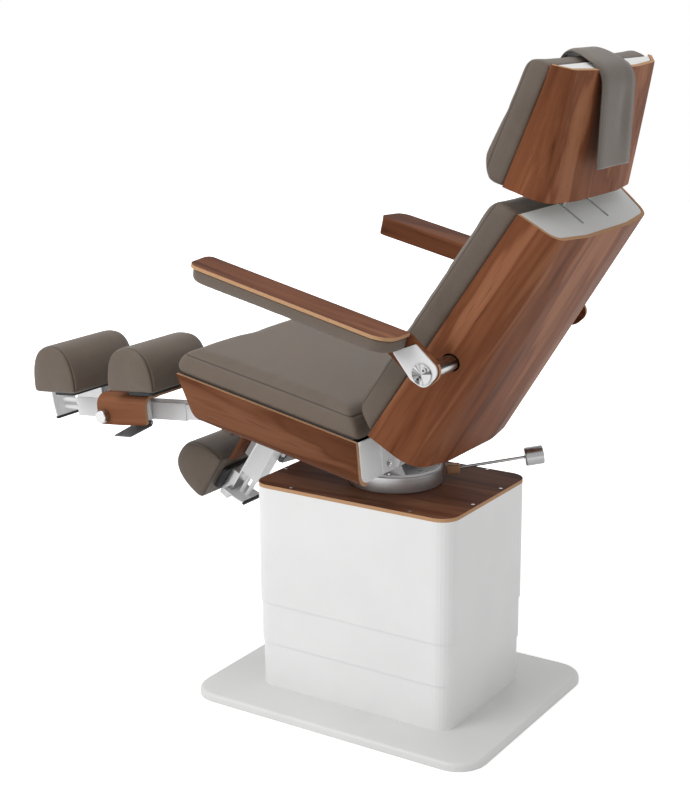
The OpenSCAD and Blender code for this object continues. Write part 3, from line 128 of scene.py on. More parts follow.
class Paint:
    """One material: its node tree and the few calls that write it."""

    def __init__(self, name):
        self.material = bpy.data.materials.new(name)
        self.material.use_nodes = True
        self.tree = self.material.node_tree
        self.tree.nodes.clear()
        self.shader = self.node("ShaderNodeBsdfPrincipled")
        end = self.node("ShaderNodeOutputMaterial")
        self.tree.links.new(self.shader.outputs[0], end.inputs[0])
        self.places = self.node("ShaderNodeTexCoord")

    def node(self, kind, settings=None, inputs=None):
        """Adds a node, sets its settings, then the values or links of its sockets."""
        n = self.tree.nodes.new(kind)
        for k, v in (settings or {}).items():
            if k == "stops":
                ramp = n.color_ramp
                while len(ramp.elements) < len(v):
                    ramp.elements.new(0.5)
                for e, (at, colour) in zip(ramp.elements, v):
                    e.position, e.color = at, (*colour, 1)
            else:
                setattr(n, k, v)
        for k, v in (inputs or {}).items():
            self.put(n.inputs[k], v)
        return n

    def put(self, socket, v):
        if isinstance(v, Value):
            self.tree.links.new(v.socket, socket)
        elif isinstance(v, bpy.types.NodeSocket):
            self.tree.links.new(v, socket)
        else:
            socket.default_value = (*v, 1) if socket.type == "RGBA" and len(v) == 3 else v

    def math(self, operation, *values, clamp=False):
        n = self.node("ShaderNodeMath", {"operation": operation, "use_clamp": clamp}, dict(enumerate(values)))
        return Value(self, n.outputs[0])

    def local(self, place, stretch=(1, 1, 1), normal=False):
        """Object coordinates, or the surface normal, in a place's own frame, then stretched per axis."""
        source = self.places.outputs["Normal" if normal else "Object"]
        at = (0, 0, 0) if normal else (place.side * place.at[0], place.at[1], place.at[2])
        n = self.node("ShaderNodeMapping", {"vector_type": "TEXTURE"},
                      {0: source, 1: at, 2: (place.turn, 0, 0), 3: (place.side, 1, 1)})
        if tuple(stretch) == (1, 1, 1):
            return n.outputs[0]
        m = self.node("ShaderNodeVectorMath", {"operation": "MULTIPLY"}, {0: n.outputs[0], 1: stretch})
        return m.outputs[0]

    def split(self, vector):
        n = self.node("ShaderNodeSeparateXYZ", None, {0: vector})
        return [Value(self, o) for o in n.outputs]

    def join(self, x, y, z):
        return self.node("ShaderNodeCombineXYZ", None, {0: x, 1: y, 2: z}).outputs[0]

    def noise(self, vector, scale, detail=3.0, rough=0.55, bend=0.0):
        n = self.node("ShaderNodeTexNoise", None,
                      {"Vector": vector, "Scale": scale, "Detail": detail, "Roughness": rough, "Distortion": bend})
        return Value(self, n.outputs[0])

    def cells(self, vector, scale, feature="DISTANCE_TO_EDGE"):
        n = self.node("ShaderNodeTexVoronoi", {"feature": feature}, {"Vector": vector, "Scale": scale})
        return Value(self, n.outputs[0])

    def ramp(self, value, *stops):
        return self.node("ShaderNodeValToRGB", {"stops": stops}, {0: value}).outputs[0]

    def mix(self, mask, a, b, how="MIX"):
        """Colour a where the mask is 0 and b where it is 1."""
        n = self.node("ShaderNodeMix", {"data_type": "RGBA", "blend_type": how}, {0: mask, 6: a, 7: b})
        return n.outputs[2]

    def bump(self, height, depth, strength=1.0, under=None):
        inputs = {"Strength": strength, "Distance": depth, "Height": height}
        if under is not None:
            inputs["Normal"] = under
        return self.node("ShaderNodeBump", None, inputs).outputs[0]

    def done(self, slot=None, **sockets):
        """Sets the shader's sockets, with _ for a blank in a socket's name."""
        for k, v in sockets.items():
            self.put(self.shader.inputs[k.replace("_", " ")], v)
        self.material["slot"] = slot or ""
        return self.material


# Finishes

LEATHER = (0.148, 0.114, 0.088)
WALNUT = [(0.0, (0.055, 0.016, 0.006)), (0.30, (0.112, 0.036, 0.015)), (0.52, (0.170, 0.060, 0.027)),
          (0.76, (0.235, 0.094, 0.046)), (1.0, (0.310, 0.135, 0.072))]
PLY_PALE, PLY_DARK = (0.60, 0.36, 0.20), (0.30, 0.155, 0.085)


def leather(name, place, seams=None, tone=1.0, gloss=0.0):
    """Taupe hide: two sizes of pebble, soft mottling, creases, and sewn seams where `seams` gives their distance."""
    p = Paint(name)
    at = p.local(place)
    pebble = p.cells(at, 620).step(0.0, 0.35)
    fine = p.noise(at, 1500, 2.0)
    mottle = p.noise(at, 9, 4.0, 0.6)
    crease = p.noise(p.local(place, (1, 2.2, 1.3)), 26, 3.0, 0.6, 0.8)
    height = pebble * 0.25 + fine * 0.12 + crease.step(0.30, 0.62) * 0.25
    colour = p.ramp(mottle, (0.25, tuple(c * tone * 0.86 for c in LEATHER)),
                    (0.55, tuple(c * tone for c in LEATHER)), (0.85, tuple(c * tone * 1.12 for c in LEATHER)))
    colour = p.mix(0.16, colour, p.ramp(pebble, (0, (0.10, 0.08, 0.07)), (1, (0.9, 0.88, 0.86))), "SOFT_LIGHT")
    if seams is not None:
        d = seams(p, at)
        line = 1 - d.step(0.0004, 0.0022)
        height = height + d.step(0.0, 0.0045) * 1.6
        colour = p.mix(line * 0.75, colour, tuple(c * 0.16 for c in LEATHER))
    return p.done("upholstery", Base_Color=colour, Roughness=mottle * 0.16 + 0.40 - gloss * 0.5 + pebble * 0.05,
                  Specular_IOR_Level=0.26 + gloss, Sheen_Weight=0.04, Sheen_Roughness=0.5,
                  Normal=p.bump(height, 0.0009, 0.55))


def walnut(name, place, grain, edge=None, tone=1.0, shift=0.0):
    """Walnut veneer: a slow figure drawn out along the grain, growth lines in it, fine fibres and pores.

    grain is 0, 1 or 2 for the axis it runs along. edge gives a mask of the plywood's cut edges."""
    p = Paint(name)
    slow, fibre, pore = [[across] * 3 for across in (10.0, 300.0, 240.0)]
    slow[grain], fibre[grain], pore[grain] = 0.95, 4.0, 9.0
    at = p.local(place)
    moved = p.node("ShaderNodeVectorMath", {"operation": "ADD"}, {0: p.local(place, slow), 1: (shift, shift, shift)})
    figure = p.noise(moved.outputs[0], 1.0, 3.0, 0.5, 0.7)
    lines = ((figure * 34 + p.noise(p.local(place, slow), 3.1, 2.0) * 5).sin() * 0.5 + 0.5) ** 3.0
    fibres = p.noise(p.local(place, fibre), 1.0, 3.0, 0.65)
    pores = p.noise(p.local(place, pore), 1.0, 2.0, 0.5).step(0.62, 0.76)
    tint = figure.step(0.26, 0.74) * 0.66 - lines * 0.20 + fibres * 0.20 + 0.14
    colour = p.ramp(tint, *[(a, tuple(v * tone for v in c)) for a, c in WALNUT])
    colour = p.mix(pores * 0.35, colour, (0.040, 0.014, 0.007))
    rough = fibres * 0.14 + 0.46
    height = fibres * 0.5 - pores * 0.5
    if edge is not None:
        normal = p.split(p.local(place, normal=True))
        x, y, z = p.split(at)
        mask, depth = edge(normal, x, y, z)
        layers = (depth * (2 * math.pi / 0.0026)).sin().step(-0.3, 0.5)
        cut = p.mix(p.noise(at, 240, 2.0) * 0.5 + layers * 0.25, PLY_PALE, PLY_DARK)
        colour = p.mix(mask, colour, cut)
        rough = rough + mask * 0.15
    return p.done("walnut", Base_Color=colour, Roughness=rough, Specular_IOR_Level=0.06,
                  Normal=p.bump(height, 0.00035, 0.35))


def paint(name, colour, slot, rough=0.38, peel=420, spread=0.05):
    """Powder coat: an orange-peel bump, with a slow unevenness in gloss and shade."""
    p = Paint(name)
    at = p.places.outputs["Object"]
    peeling = p.noise(at, peel, 2.0)
    slow = p.noise(at, 5, 3.0)
    shade = p.mix(slow.step(0.25, 0.8), tuple(c * (1 - spread) for c in colour), colour)
    return p.done(slot, Base_Color=shade, Roughness=peeling * 0.10 + slow * 0.08 + rough - 0.09,
                  Specular_IOR_Level=0.5, Normal=p.bump(peeling, 0.0005, 0.22))


def brushed(name, vector, slot, colour=(0.40, 0.40, 0.40), rough=0.25, depth=0.00012, painted_glint=None):
    """Brushed metal: scratches are noise that is fine across the strokes and long along them, and an optional sector
    mask darkens some sectors as a painted reflection.
    """
    p = Paint(name)
    v = vector(p)
    lines = p.noise(v, 1.0, 4.0, 0.7)
    smear = p.noise(p.places.outputs["Object"], 22, 3.0)
    shade = p.mix(lines, tuple(c * 0.65 for c in colour), tuple(c * 1.30 for c in colour))
    if painted_glint is not None:
        # painted reflection: sectors where the noise is low are darkened to stand in for the turned face's dark glints
        shade = p.mix(painted_glint(p).step(0.40, 0.62), tuple(c * 0.22 for c in colour), shade)
    return p.done(slot, Base_Color=shade, Metallic=1.0, Roughness=lines * 0.18 + smear * 0.10 + rough - 0.12,
                  Normal=p.bump(lines, depth, 0.5))


def along(axis, place=CHAIR):
    """Strokes along one axis of a place."""
    def vector(p):
        s = [900.0, 900.0, 900.0]
        s[axis] = 14.0
        return p.local(place, s)
    return vector


def round_about(centre, axis=2, place=CHAIR):
    """Strokes round an axis: the noise depends on the distance from it and on the place along it."""
    def vector(p):
        c = p.split(p.local(place))
        a, b = [c[i] - centre[i] for i in range(3) if i != axis]
        return p.join((a * a + b * b) ** 0.5 * 900, c[axis] * 900, 0.0)
    return vector


def painted_glint_sectors(centre, axis=0, place=CHAIR):
    """Painted reflection of a turned face, its light and dark sectors: noise of the direction from its middle alone."""
    def value(p):
        c = p.split(p.local(place))
        a, b = [c[i] - centre[i] for i in range(3) if i != axis]
        r = (a * a + b * b) ** 0.5
        return p.noise(p.join(a / r, b / r, 0.3), 1.7, 1.0)
    return value


def moulded(name, colour, slot, rough=0.5, grain=900):
    """Moulded plastic: fine texture, and a few darker rub marks."""
    p = Paint(name)
    at = p.places.outputs["Object"]
    n = p.noise(at, grain, 2.0)
    rub = p.noise(at, 14, 4.0, 0.7).step(0.62, 0.85)
    shade = p.mix(rub * 0.35, colour, tuple(c * 0.8 for c in colour))
    return p.done(slot, Base_Color=shade, Roughness=n * 0.1 + rough - rub * 0.08,
                  Normal=p.bump(n, 0.0003, 0.25))


# Surfaces

def mesh_object(name, points, faces, material, smooth=True):
    """A mesh with its place in its points, shaded smooth."""
    mesh = bpy.data.meshes.new(name)
    mesh.from_pydata([tuple(v) for v in np.asarray(points).tolist()], [], [tuple(f) for f in faces])
    mesh.update()
    mesh.polygons.foreach_set("use_smooth", np.full(len(mesh.polygons), smooth))
    mesh.materials.append(material)
    obj = bpy.data.objects.new(name, mesh)
    scene.collection.objects.link(obj)
    return obj


def skin(rings, closed=True):
    """Quads between stacked rings (m, n, 3), n running round, with a flat lid on both ends."""
    m, n, _ = rings.shape
    i, j = np.meshgrid(np.arange(m - 1), np.arange(n), indexing="ij")
    k = (j + 1) % n
    quads = np.stack([i * n + j, i * n + k, (i + 1) * n + k, (i + 1) * n + j], -1).reshape(-1, 4).tolist()
    lids = [list(range(n - 1, -1, -1)), list(range((m - 1) * n, m * n))] if closed else []
    return rings.reshape(-1, 3), quads + lids


def outward(obj):
    """Turns the faces of a closed mesh outwards if its signed volume is negative."""
    mesh = obj.data
    mesh.calc_loop_triangles()
    v = np.empty(len(mesh.vertices) * 3)
    mesh.vertices.foreach_get("co", v)
    t = np.empty(len(mesh.loop_triangles) * 3, int)
    mesh.loop_triangles.foreach_get("vertices", t)
    a, b, c = v.reshape(-1, 3)[t.reshape(-1, 3)].transpose(1, 0, 2)
    if np.einsum("ij,ij->", a, np.cross(b, c)) < 0:
        mesh.flip_normals()
    return obj


def path_round(points, radii, steps=8):
    """Closed outline with an arc of the given radius at each corner."""
    pts, out = np.asarray(points, float), []
    for i, r in enumerate(radii):
        a, p, b = pts[i - 1], pts[i], pts[(i + 1) % len(pts)]
        if r == 0:
            out.append(p[None])
            continue
        u, v = (a - p) / np.linalg.norm(a - p), (b - p) / np.linalg.norm(b - p)
        half = math.acos(np.clip(u @ v, -1, 1)) / 2
        mid = (u + v) / np.linalg.norm(u + v)
        centre = p + mid * r / math.sin(half)
        s, e = p + u * r / math.tan(half) - centre, p + v * r / math.tan(half) - centre
        start, turn = math.atan2(s[1], s[0]), math.atan2(s[0] * e[1] - s[1] * e[0], s @ e)
        t = start + turn * np.linspace(0, 1, steps + 1)
        out.append(centre + r * np.stack([np.cos(t), np.sin(t)], -1))
    return np.concatenate(out)


def even(outline, gap):
    """The closed outline again, with points at an even spacing along it."""
    loop = np.vstack([outline, outline[:1]])
    s = np.concatenate([[0], np.cumsum(np.linalg.norm(np.diff(loop, axis=0), axis=1))])
    t = np.linspace(0, s[-1], max(12, int(s[-1] / gap)), endpoint=False)
    return np.stack([np.interp(t, s, loop[:, 0]), np.interp(t, s, loop[:, 1])], -1)


def shrunk(outline, by):
    """The outline drawn in towards its middle by a length, along the line from the middle, per axis."""
    low, high = outline.min(0), outline.max(0)
    mid, half = (low + high) / 2, (high - low) / 2
    return mid + (outline - mid) * (1 - np.minimum(by, half * 0.9) / half)


def pad_rings(outline, half_width, edge, gap=0.012, centre_x=0.0, inset=0.0):
    """Side outline carried across the pad: full in the middle, and drawn in along a quarter circle at both sides."""
    o = shrunk(even(outline, gap), inset)
    t = np.linspace(0, math.pi / 2, 6)
    side = [(-half_width + inset + edge * (1 - math.cos(a)), edge * (1 - math.sin(a))) for a in t]
    flat = [(x, 0.0) for x in np.arange(side[-1][0], -side[-1][0], gap * 1.5)[1:]]
    stations = side + flat + [(-x, d) for x, d in side[::-1]]
    rings = [np.column_stack([np.full(len(o), x + centre_x), shrunk(o, d)]) for x, d in stations]
    return np.array(rings)


def stuffed(obj, voxel, cap, frames=20, pressure=4.0):
    """Blows the pad up as cloth: a voxel remesh and pressure without gravity.

    Each point then goes at most as far as cap says: it takes the start points and their normals and gives a
    length for each point."""
    obj.data.remesh_voxel_size = voxel
    bpy.ops.object.select_all(action="DESELECT")
    obj.select_set(True)
    bpy.context.view_layer.objects.active = obj
    bpy.ops.object.voxel_remesh()
    mesh = obj.data
    start = np.empty(len(mesh.vertices) * 3)
    mesh.vertices.foreach_get("co", start)
    start = start.reshape(-1, 3)
    normals = np.empty(len(mesh.vertices) * 3)
    mesh.vertices.foreach_get("normal", normals)
    normals = normals.reshape(-1, 3)
    cloth = obj.modifiers.new("stuffing", "CLOTH")
    s = cloth.settings
    s.quality, s.mass, s.air_damping = 4, 0.25, 2.0
    s.tension_stiffness = s.compression_stiffness = 20
    s.shear_stiffness, s.bending_stiffness = 8, 1.5
    s.use_pressure, s.uniform_pressure_force = True, pressure
    s.effector_weights.gravity = 0
    cloth.point_cache.frame_start, cloth.point_cache.frame_end = 1, frames
    for f in range(1, frames + 1):
        scene.frame_set(f)
    now = obj.evaluated_get(bpy.context.evaluated_depsgraph_get()).data
    end = np.empty(len(now.vertices) * 3)
    now.vertices.foreach_get("co", end)
    move = end.reshape(-1, 3) - start
    move -= move.mean(0)
    length = np.linalg.norm(move, axis=1, keepdims=True)
    limit = cap(start, normals)[:, None]
    move *= np.minimum(1, limit / np.maximum(length, 1e-9))
    obj.modifiers.remove(cloth)
    mesh.vertices.foreach_set("co", (start + move).ravel())
    mesh.update()
    scene.frame_set(1)
    smooth = obj.modifiers.new("smooth", "CORRECTIVE_SMOOTH")
    smooth.use_only_smooth, smooth.iterations, smooth.factor = True, 6, 0.5
    apply(obj)
    mesh = obj.data
    mesh.polygons.foreach_set("use_smooth", np.ones(len(mesh.polygons), bool))
    return obj


def apply(obj):
    """Turns the modifiers into the mesh."""
    now = obj.evaluated_get(bpy.context.evaluated_depsgraph_get())
    mesh = bpy.data.meshes.new_from_object(now)
    obj.modifiers.clear()
    obj.data = mesh


def finer(obj, levels=1):
    """Subdivides the skin once more and keeps it as a mesh."""
    sub = obj.modifiers.new("finer", "SUBSURF")
    sub.levels = sub.render_levels = levels
    apply(obj)
    return obj


def sculpt(obj, place, change):
    """Moves points of a finished skin in the place's own frame: change takes points and gives new ones."""
    mesh = obj.data
    v = np.empty(len(mesh.vertices) * 3)
    mesh.vertices.foreach_get("co", v)
    v = v.reshape(-1, 3)
    c, s = math.cos(place.turn), math.sin(place.turn)
    q = v * np.array([place.side, 1, 1]) - np.array(place.at)
    q = np.stack([q[:, 0], q[:, 1] * c + q[:, 2] * s, -q[:, 1] * s + q[:, 2] * c], -1)
    mesh.vertices.foreach_set("co", place.out(change(q)).ravel())
    mesh.update()
    return obj


def pad(name, node, body, place, outline, half_width, edge, material, cap, voxel=0.006, inset=0.002, centre_x=0.0,
        change=None):
    """One leather pad: its outline carried across, stuffed, smoothed and put in the place of its CAD solid."""
    rings = pad_rings(outline, half_width, edge, centre_x=centre_x, inset=inset)
    points, faces = skin(place.out(rings))
    obj = outward(mesh_object(name, points, faces, material))
    stuffed(obj, voxel, cap)
    finer(obj)
    if change is not None:
        sculpt(obj, place, change)
    outward(obj)
    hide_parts(node)
    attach(obj, body)
    return obj


def facing(place, direction):
    """How much a normal looks along a direction of the place's frame, 0 to 1."""
    c, s = math.cos(place.turn), math.sin(place.turn)
    d = np.array([direction[0] * place.side, direction[1] * c - direction[2] * s, direction[1] * s + direction[2] * c])
    return lambda normals: np.clip(normals @ d, 0, 1)


def puff(place, top, up=0.009, side=0.0025, base=0.0):
    """Limit of the stuffing: the face towards `top` may rise by `up`, the sides by `side`, the back by `base`."""
    towards, away = facing(place, top), facing(place, tuple(-v for v in top))
    return lambda points, normals: side + (up - side) * towards(normals) + (base - side) * away(normals) ** 0.5


# Bent plywood shells
def open_round(points, radii, count):
    """Open path with an arc at each inner corner, again at an even spacing, with its outward normals."""
    far = [np.array(points[0]) - (1, 0), np.array(points[-1]) + (1, 0)]
    whole = path_round([*points, far[1], far[0]], [0, *radii, 0, 0, 0], 14)[:-2]
    s = np.concatenate([[0], np.cumsum(np.linalg.norm(np.diff(whole, axis=0), axis=1))])
    t = np.linspace(0, s[-1], count)
    path = np.stack([np.interp(t, s, whole[:, k]) for k in (0, 1)], -1)
    tangent = np.gradient(path, axis=0)
    tangent /= np.linalg.norm(tangent, axis=1, keepdims=True)
    return path, np.stack([-tangent[:, 1], tangent[:, 0]], -1)


def shell_ring(front, corner, middle, radius, ply, z, count=141):
    """Plan of a shell at a height: side, soft corner and crowned rear, outside and then back along its inside."""
    x, y = corner
    mid_x, mid_y = x * 0.45, middle - (middle - y) * 0.2
    path, normal = open_round([(-front, 0), (-x, y), (-mid_x, mid_y), (mid_x, mid_y), (x, y), (front, 0)],
                              [radius, radius * 3, radius * 3, radius], count)
    inner = path - normal * ply
    inner[[0, -1], 1] = 0
    flat = np.concatenate([path, inner[::-1]])
    return np.column_stack([flat, np.full(len(flat), z)])


def bent_shell(name, place, height, front, low, top, radii, ply, material, rows=48):
    """Veneered shell: plans drawn up its height; corners, depths and radii run straight from low to top."""
    k = np.linspace(0, 1, rows)
    rings = []
    for share in k:
        x, y, middle = (a + (b - a) * share for a, b in zip(low, top))
        rings.append(shell_ring(front, (x, y), middle, radii[0] + (radii[1] - radii[0]) * share, ply, height * share))
    rings = place.out(np.array(rings))
    n = rings.shape[1]
    points, faces = skin(rings, closed=False)
    i = np.arange(n // 2 - 1)
    lid = np.stack([i, i + 1, n - 2 - i, n - 1 - i], -1)
    faces += lid[:, ::-1].tolist() + (lid + (rows - 1) * n).tolist()
    obj = outward(mesh_object(name, points, faces, material))
    return obj


def crisp(obj, degrees=35):
    """Keeps edges sharper than an angle hard in the shading."""
    obj.data.set_sharp_from_angle(angle=math.radians(degrees))
    return obj


def bored(obj, place, y, z, radius, reach):
    """Cuts a round hole across the whole piece, along X."""
    t = np.linspace(0, 2 * math.pi, 64, endpoint=False)
    ring = np.stack([np.zeros(64), y + radius * np.cos(t), z + radius * np.sin(t)], -1)
    points, faces = skin(place.out(np.stack([ring - (reach, 0, 0), ring + (reach, 0, 0)])))
    tool = outward(mesh_object("bore_tool", points, faces, obj.data.materials[0]))
    cut = obj.modifiers.new("bore", "BOOLEAN")
    cut.operation, cut.object, cut.solver = "DIFFERENCE", tool, "EXACT"
    apply(obj)
    bpy.data.objects.remove(tool)
    return obj


# Boards under the leg pads and the seat cushion; their near-black colour is painted shade for the dark line under the
# pads and the cushion
painted_shade_board = moulded("roll_board", (0.016, 0.016, 0.017), "motor_black", 0.55)


# Seat cushion
def seat_seams(p, at):
    """Distance to the welt that runs round the top's edge, in the height of the side band."""
    x, y, z = p.split(at)
    return (z - 0.0525).abs()


seat_outline = path_round([[0.009, 0.0003], [-0.006, 0.032], [-0.024, 0.062], [-0.514, 0.062], [-0.540, 0.027],
                           [-0.524, 0.0003]], [0.003, 0.04, 0.014, 0.018, 0.03, 0.003])
pad("seat_top", "seat_cushion", "seat", SEAT, seat_outline, 0.267, 0.010, leather("seat_hide", SEAT, seat_seams, 0.95),
    puff(SEAT, (0, 0, 1), 0.010), voxel=0.007)


# Board between the plies of the tray, under the cushion; it is near black as painted shade for the shadow line between
# cushion and tray
BASE_HALF, BASE_FRONT, BASE_REAR, BASE_LOW, BASE_HIGH = 0.2585, -0.512, -0.012, -0.004, 0.009
seat_base = path_round([[-BASE_HALF, BASE_FRONT], [BASE_HALF, BASE_FRONT], [BASE_HALF, BASE_REAR],
                        [-BASE_HALF, BASE_REAR]], [0.004] * 4, 4)
rings = np.array([np.column_stack([seat_base, np.full(len(seat_base), z)]) for z in (BASE_LOW, BASE_HIGH)])
points, faces = skin(SEAT.out(rings))
base_board = outward(mesh_object("seat_base_board", points, faces, painted_shade_board, smooth=False))
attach(base_board, "seat")


# Back cushion
def back_seams(p, at):
    """Distance to the welt along the cushion's front edge, seen on its sides and top."""
    x, y, z = p.split(at)
    return (y + 0.0545).abs()


back_outline = path_round([[-0.0003, 0.0003], [-0.0003, 0.635], [-0.064, 0.635], [-0.066, 0.45], [-0.066, 0.19],
                           [-0.064, 0.037], [-0.046, 0.018]], [0.003, 0.004, 0.023, 0, 0, 0.016, 0.01])
pad("back_front", "back_cushion", "back", BACK, back_outline, 0.265, 0.010,
    leather("back_hide", BACK, back_seams, 0.80),
    puff(BACK, (0, -1, 0), 0.010), voxel=0.007)


# Head cushion
def head_seams(p, at):
    """Distance to the welt on the front edge of the headrest's cushion."""
    x, y, z = p.split(at)
    return (y + 0.050).abs()


head_outline = path_round([[-0.0003, -0.005], [-0.0003, 0.266], [-0.030, 0.266], [-0.058, 0.261], [-0.060, 0.17],
                           [-0.066, 0.032], [-0.042, -0.009]], [0.003, 0.004, 0.014, 0.016, 0, 0.034, 0.022])
pad("head_front", "head_cushion", "head", HEAD, head_outline, 0.256, 0.009,
    leather("head_hide", HEAD, head_seams, 0.82),
    puff(HEAD, (0, -1, 0), 0.006, 0.002), voxel=0.006)


# Leg pads
def roll_outline(y0, width, z0, height):
    """D-shaped side view: the width follows cos^0.72 and the height sin^0.9 of a half turn."""
    t = np.linspace(0, math.pi, 41)
    c = np.cos(t)
    return np.column_stack([-(y0 + width / 2) + width / 2 * np.abs(c) ** 0.72 * np.sign(c),
                            z0 + height * np.sin(t) ** 0.9])


ROLL_IN = 0.003 - 0.092
ROLL_HALF = {"calf": 0.124, "foot": 0.1295}
BOARD_DEEP = {"calf": 0.0124, "foot": 0.0097}
END_SEAM = 0.012


def roll_middle(what):
    """Middle of a roll across its leg rest."""
    return ROLL_IN + ROLL_HALF[what]


def end_seams(what):
    """Distance to the two seams that join the end panels of a leg pad to its roll."""
    def distance(p, at):
        x, y, z = p.split(at)
        return ((x - roll_middle(what)).abs() - (ROLL_HALF[what] - END_SEAM)).abs()
    return distance


def end_pinch(what):
    """Draws the skin in along the two end seams, by a share that falls off as a bell beside each seam."""
    def change(q):
        d = np.abs(np.abs(q[:, 0] - roll_middle(what)) - ROLL_HALF[what] + END_SEAM)
        pull = 1 - 0.018 * np.exp(-(d / 0.0035) ** 2)
        mid = np.array([q[:, 1].mean(), q[:, 2].mean()])
        q[:, 1:] = mid + (q[:, 1:] - mid) * pull[:, None]
        return q
    return change


def roll_board(name, place, y0, width, half, middle, z0, deep):
    """Board under a roll, a spacer whose near-black colour is painted shade for the dark line under the roll: a rounded
    rectangle, set back by 40 mm from the roll's edges, carried up.
    """
    inset = 0.040
    a, b, c = half - inset, -y0 - inset, -y0 - width + inset
    plan = path_round([[middle - a, c], [middle + a, c], [middle + a, b], [middle - a, b]], [0.010] * 4, 5)
    levels = [(-deep, 0.0012), (-deep + 0.0012, 0.0), (0.004, 0.0)]
    rings = np.array([np.column_stack([shrunk(plan, d), np.full(len(plan), z0 + z)]) for z, d in levels])
    points, faces = skin(place.out(rings))
    obj = outward(mesh_object(name, points, faces, painted_shade_board, smooth=False))
    return obj


for side in ("left", "right"):
    hide = {what: leather(f"{side}_{what}_hide", LEG[side], end_seams(what), 0.90) for what in ROLL_HALF}
    for what, y0, width, z0, height, out, body in (
            ("calf", 0.044, 0.158, 0.046, 0.118, CALF_OUT[side], "_calf"),
            ("foot", 0.262, 0.150, 0.036, 0.128, FOOT_OUT[side], "_foot")):
        half = ROLL_HALF[what]
        pad(f"{side}_{what}_roll", f"{side}_{what}_pad", side + body, LEG[side],
            roll_outline(y0 + out, width, z0, height), half, 0.009, hide[what],
            puff(LEG[side], (0, 0, 1), 0.004, 0.003), voxel=0.006, inset=0.003, centre_x=roll_middle(what),
            change=end_pinch(what))
        board = roll_board(f"{side}_{what}_board", LEG[side], y0 + out, width, half, roll_middle(what), z0,
                           BOARD_DEEP[what])
        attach(board, side + body)


# Ply edges: each takes a normal and a place, and gives a mask of the cut edges and a depth for the layers
def tray_edge(n, x, y, z):
    """Rim on top and the slanted ends of the seat tray; the layers are counted from the side faces."""
    ends = n[1].abs().step(0.55, 0.75)
    rim = n[2].step(0.7, 0.9) * z.step(-0.004, -0.002)
    return ends.most(rim), x + z


def shell_edge(n, x, y, z):
    """Top and bottom ends of a bent shell, and its two front rims."""
    return n[2].abs().step(0.6, 0.8).most((0 - n[1]).step(0.7, 0.9) * (0.003 - y).step(0.0, 0.002)), y + x.abs() * 0.3


def arm_edge(n, x, y, z):
    """Ends of the armrest, the cheek's lower edge and the outer edge of its top."""
    ends = n[1].abs().step(0.55, 0.75)
    low = (0 - n[2]).step(0.6, 0.85)
    outer = n[0].step(0.6, 0.8) * x.step(0.03, 0.04)
    return ends.most(low).most(outer), z + x


def bracket_edge(n, x, y, z):
    """Both ends of the bracket and the lower edge of its flange."""
    return n[1].abs().step(0.55, 0.75).most((0 - n[2]).step(0.6, 0.85) * x.step(0.08, 0.10)), z + x


def plate_edge(n, x, y, z):
    """Rim of the top plate."""
    return (1 - n[2].abs()).step(0.3, 0.6), z


RING_CENTRE = (0, 0.014, 0)
LEVER_PIVOT = (-0.083, 0.1326, 0)
SHAFT = np.array([0.5897, -0.0749])
SHAFT_END = (0, *SHAFT)

white = paint("casing_coat", (0.80, 0.805, 0.80), "casing_white", 0.42)
cover = paint("cover_coat", (0.73, 0.735, 0.725), "cover_white", 0.46, 500)
leg_white = paint("leg_coat", (0.80, 0.80, 0.81), "leg_white", 0.36)
dark = paint("frame_coat", (0.030, 0.030, 0.032), "dark_steel", 0.5)
paddle_grey = paint("paddle_coat", (0.10, 0.10, 0.105), "dark_steel", 0.42)
liner = moulded("liner_board", (0.66, 0.67, 0.66), "liner_grey", 0.55)
pale_core = moulded("head_board", (0.80, 0.80, 0.78), "liner_grey", 0.6)
motor = moulded("drive_housing", (0.018, 0.018, 0.020), "motor_black", 0.5)
rubber = moulded("rubber_strip", (0.012, 0.012, 0.013), "motor_black", 0.7)

coat = {
    "base_cover": cover, "casing_lower": white, "casing_middle": white, "casing_upper": white,
    "column_lower": brushed("profile_low", along(2), "column_profile", (0.55, 0.56, 0.57)),
    "column_middle": brushed("profile_mid", along(2), "column_profile", (0.57, 0.58, 0.59)),
    "column_upper": brushed("profile_top", along(2), "column_profile", (0.59, 0.60, 0.61)),
    "lift_motor": motor, "recline_actuator": motor,
    "top_plate": walnut("cap_veneer", CHAIR, 1, plate_edge, 0.82),
    "top_plate_screws": brushed("cap_screws", along(0), "bright_steel", (0.50, 0.50, 0.50), 0.22),
    "turntable_ring": brushed("ring_turned", round_about(RING_CENTRE), "bright_steel", (0.52, 0.52, 0.52), 0.30,
                              0.00004),
    "swivel_chassis": paint("swivel_coat", (0.80, 0.80, 0.81), "casing_white", 0.38),
    "swivel_screws": brushed("swivel_heads", along(0), "bright_steel", (0.50, 0.50, 0.50), 0.22),
    "brake_block": brushed("block_brass", along(2), "brass_block", (0.36, 0.20, 0.11), 0.36),
    "brake_lever": brushed("lever_steel", round_about(LEVER_PIVOT), "bright_steel", (0.36, 0.36, 0.36), 0.24),
    "seat_frame": dark, "back_frame": dark, "head_carriage": dark,
    "seat_shell": walnut("tray_veneer", SEAT, 1, tray_edge, 0.72, 3.1),
    "seat_end_plate": paint("end_coat", (0.84, 0.85, 0.86), "liner_grey", 0.42),
    "hinge_bolts": brushed("hinge_heads", along(0), "bright_steel", (0.45, 0.45, 0.45), 0.22),
    "seat_pivot_pins": brushed("pin_steel", along(0), "bright_steel"),
    "recline_rod": brushed("drive_rod", along(1, SEAT), "bright_steel"),
    "back_core": liner,
    "head_rods": brushed("rod_steel", along(2, HEAD), "bright_steel", (0.45, 0.45, 0.45), 0.20),
    "head_core": pale_core,
}
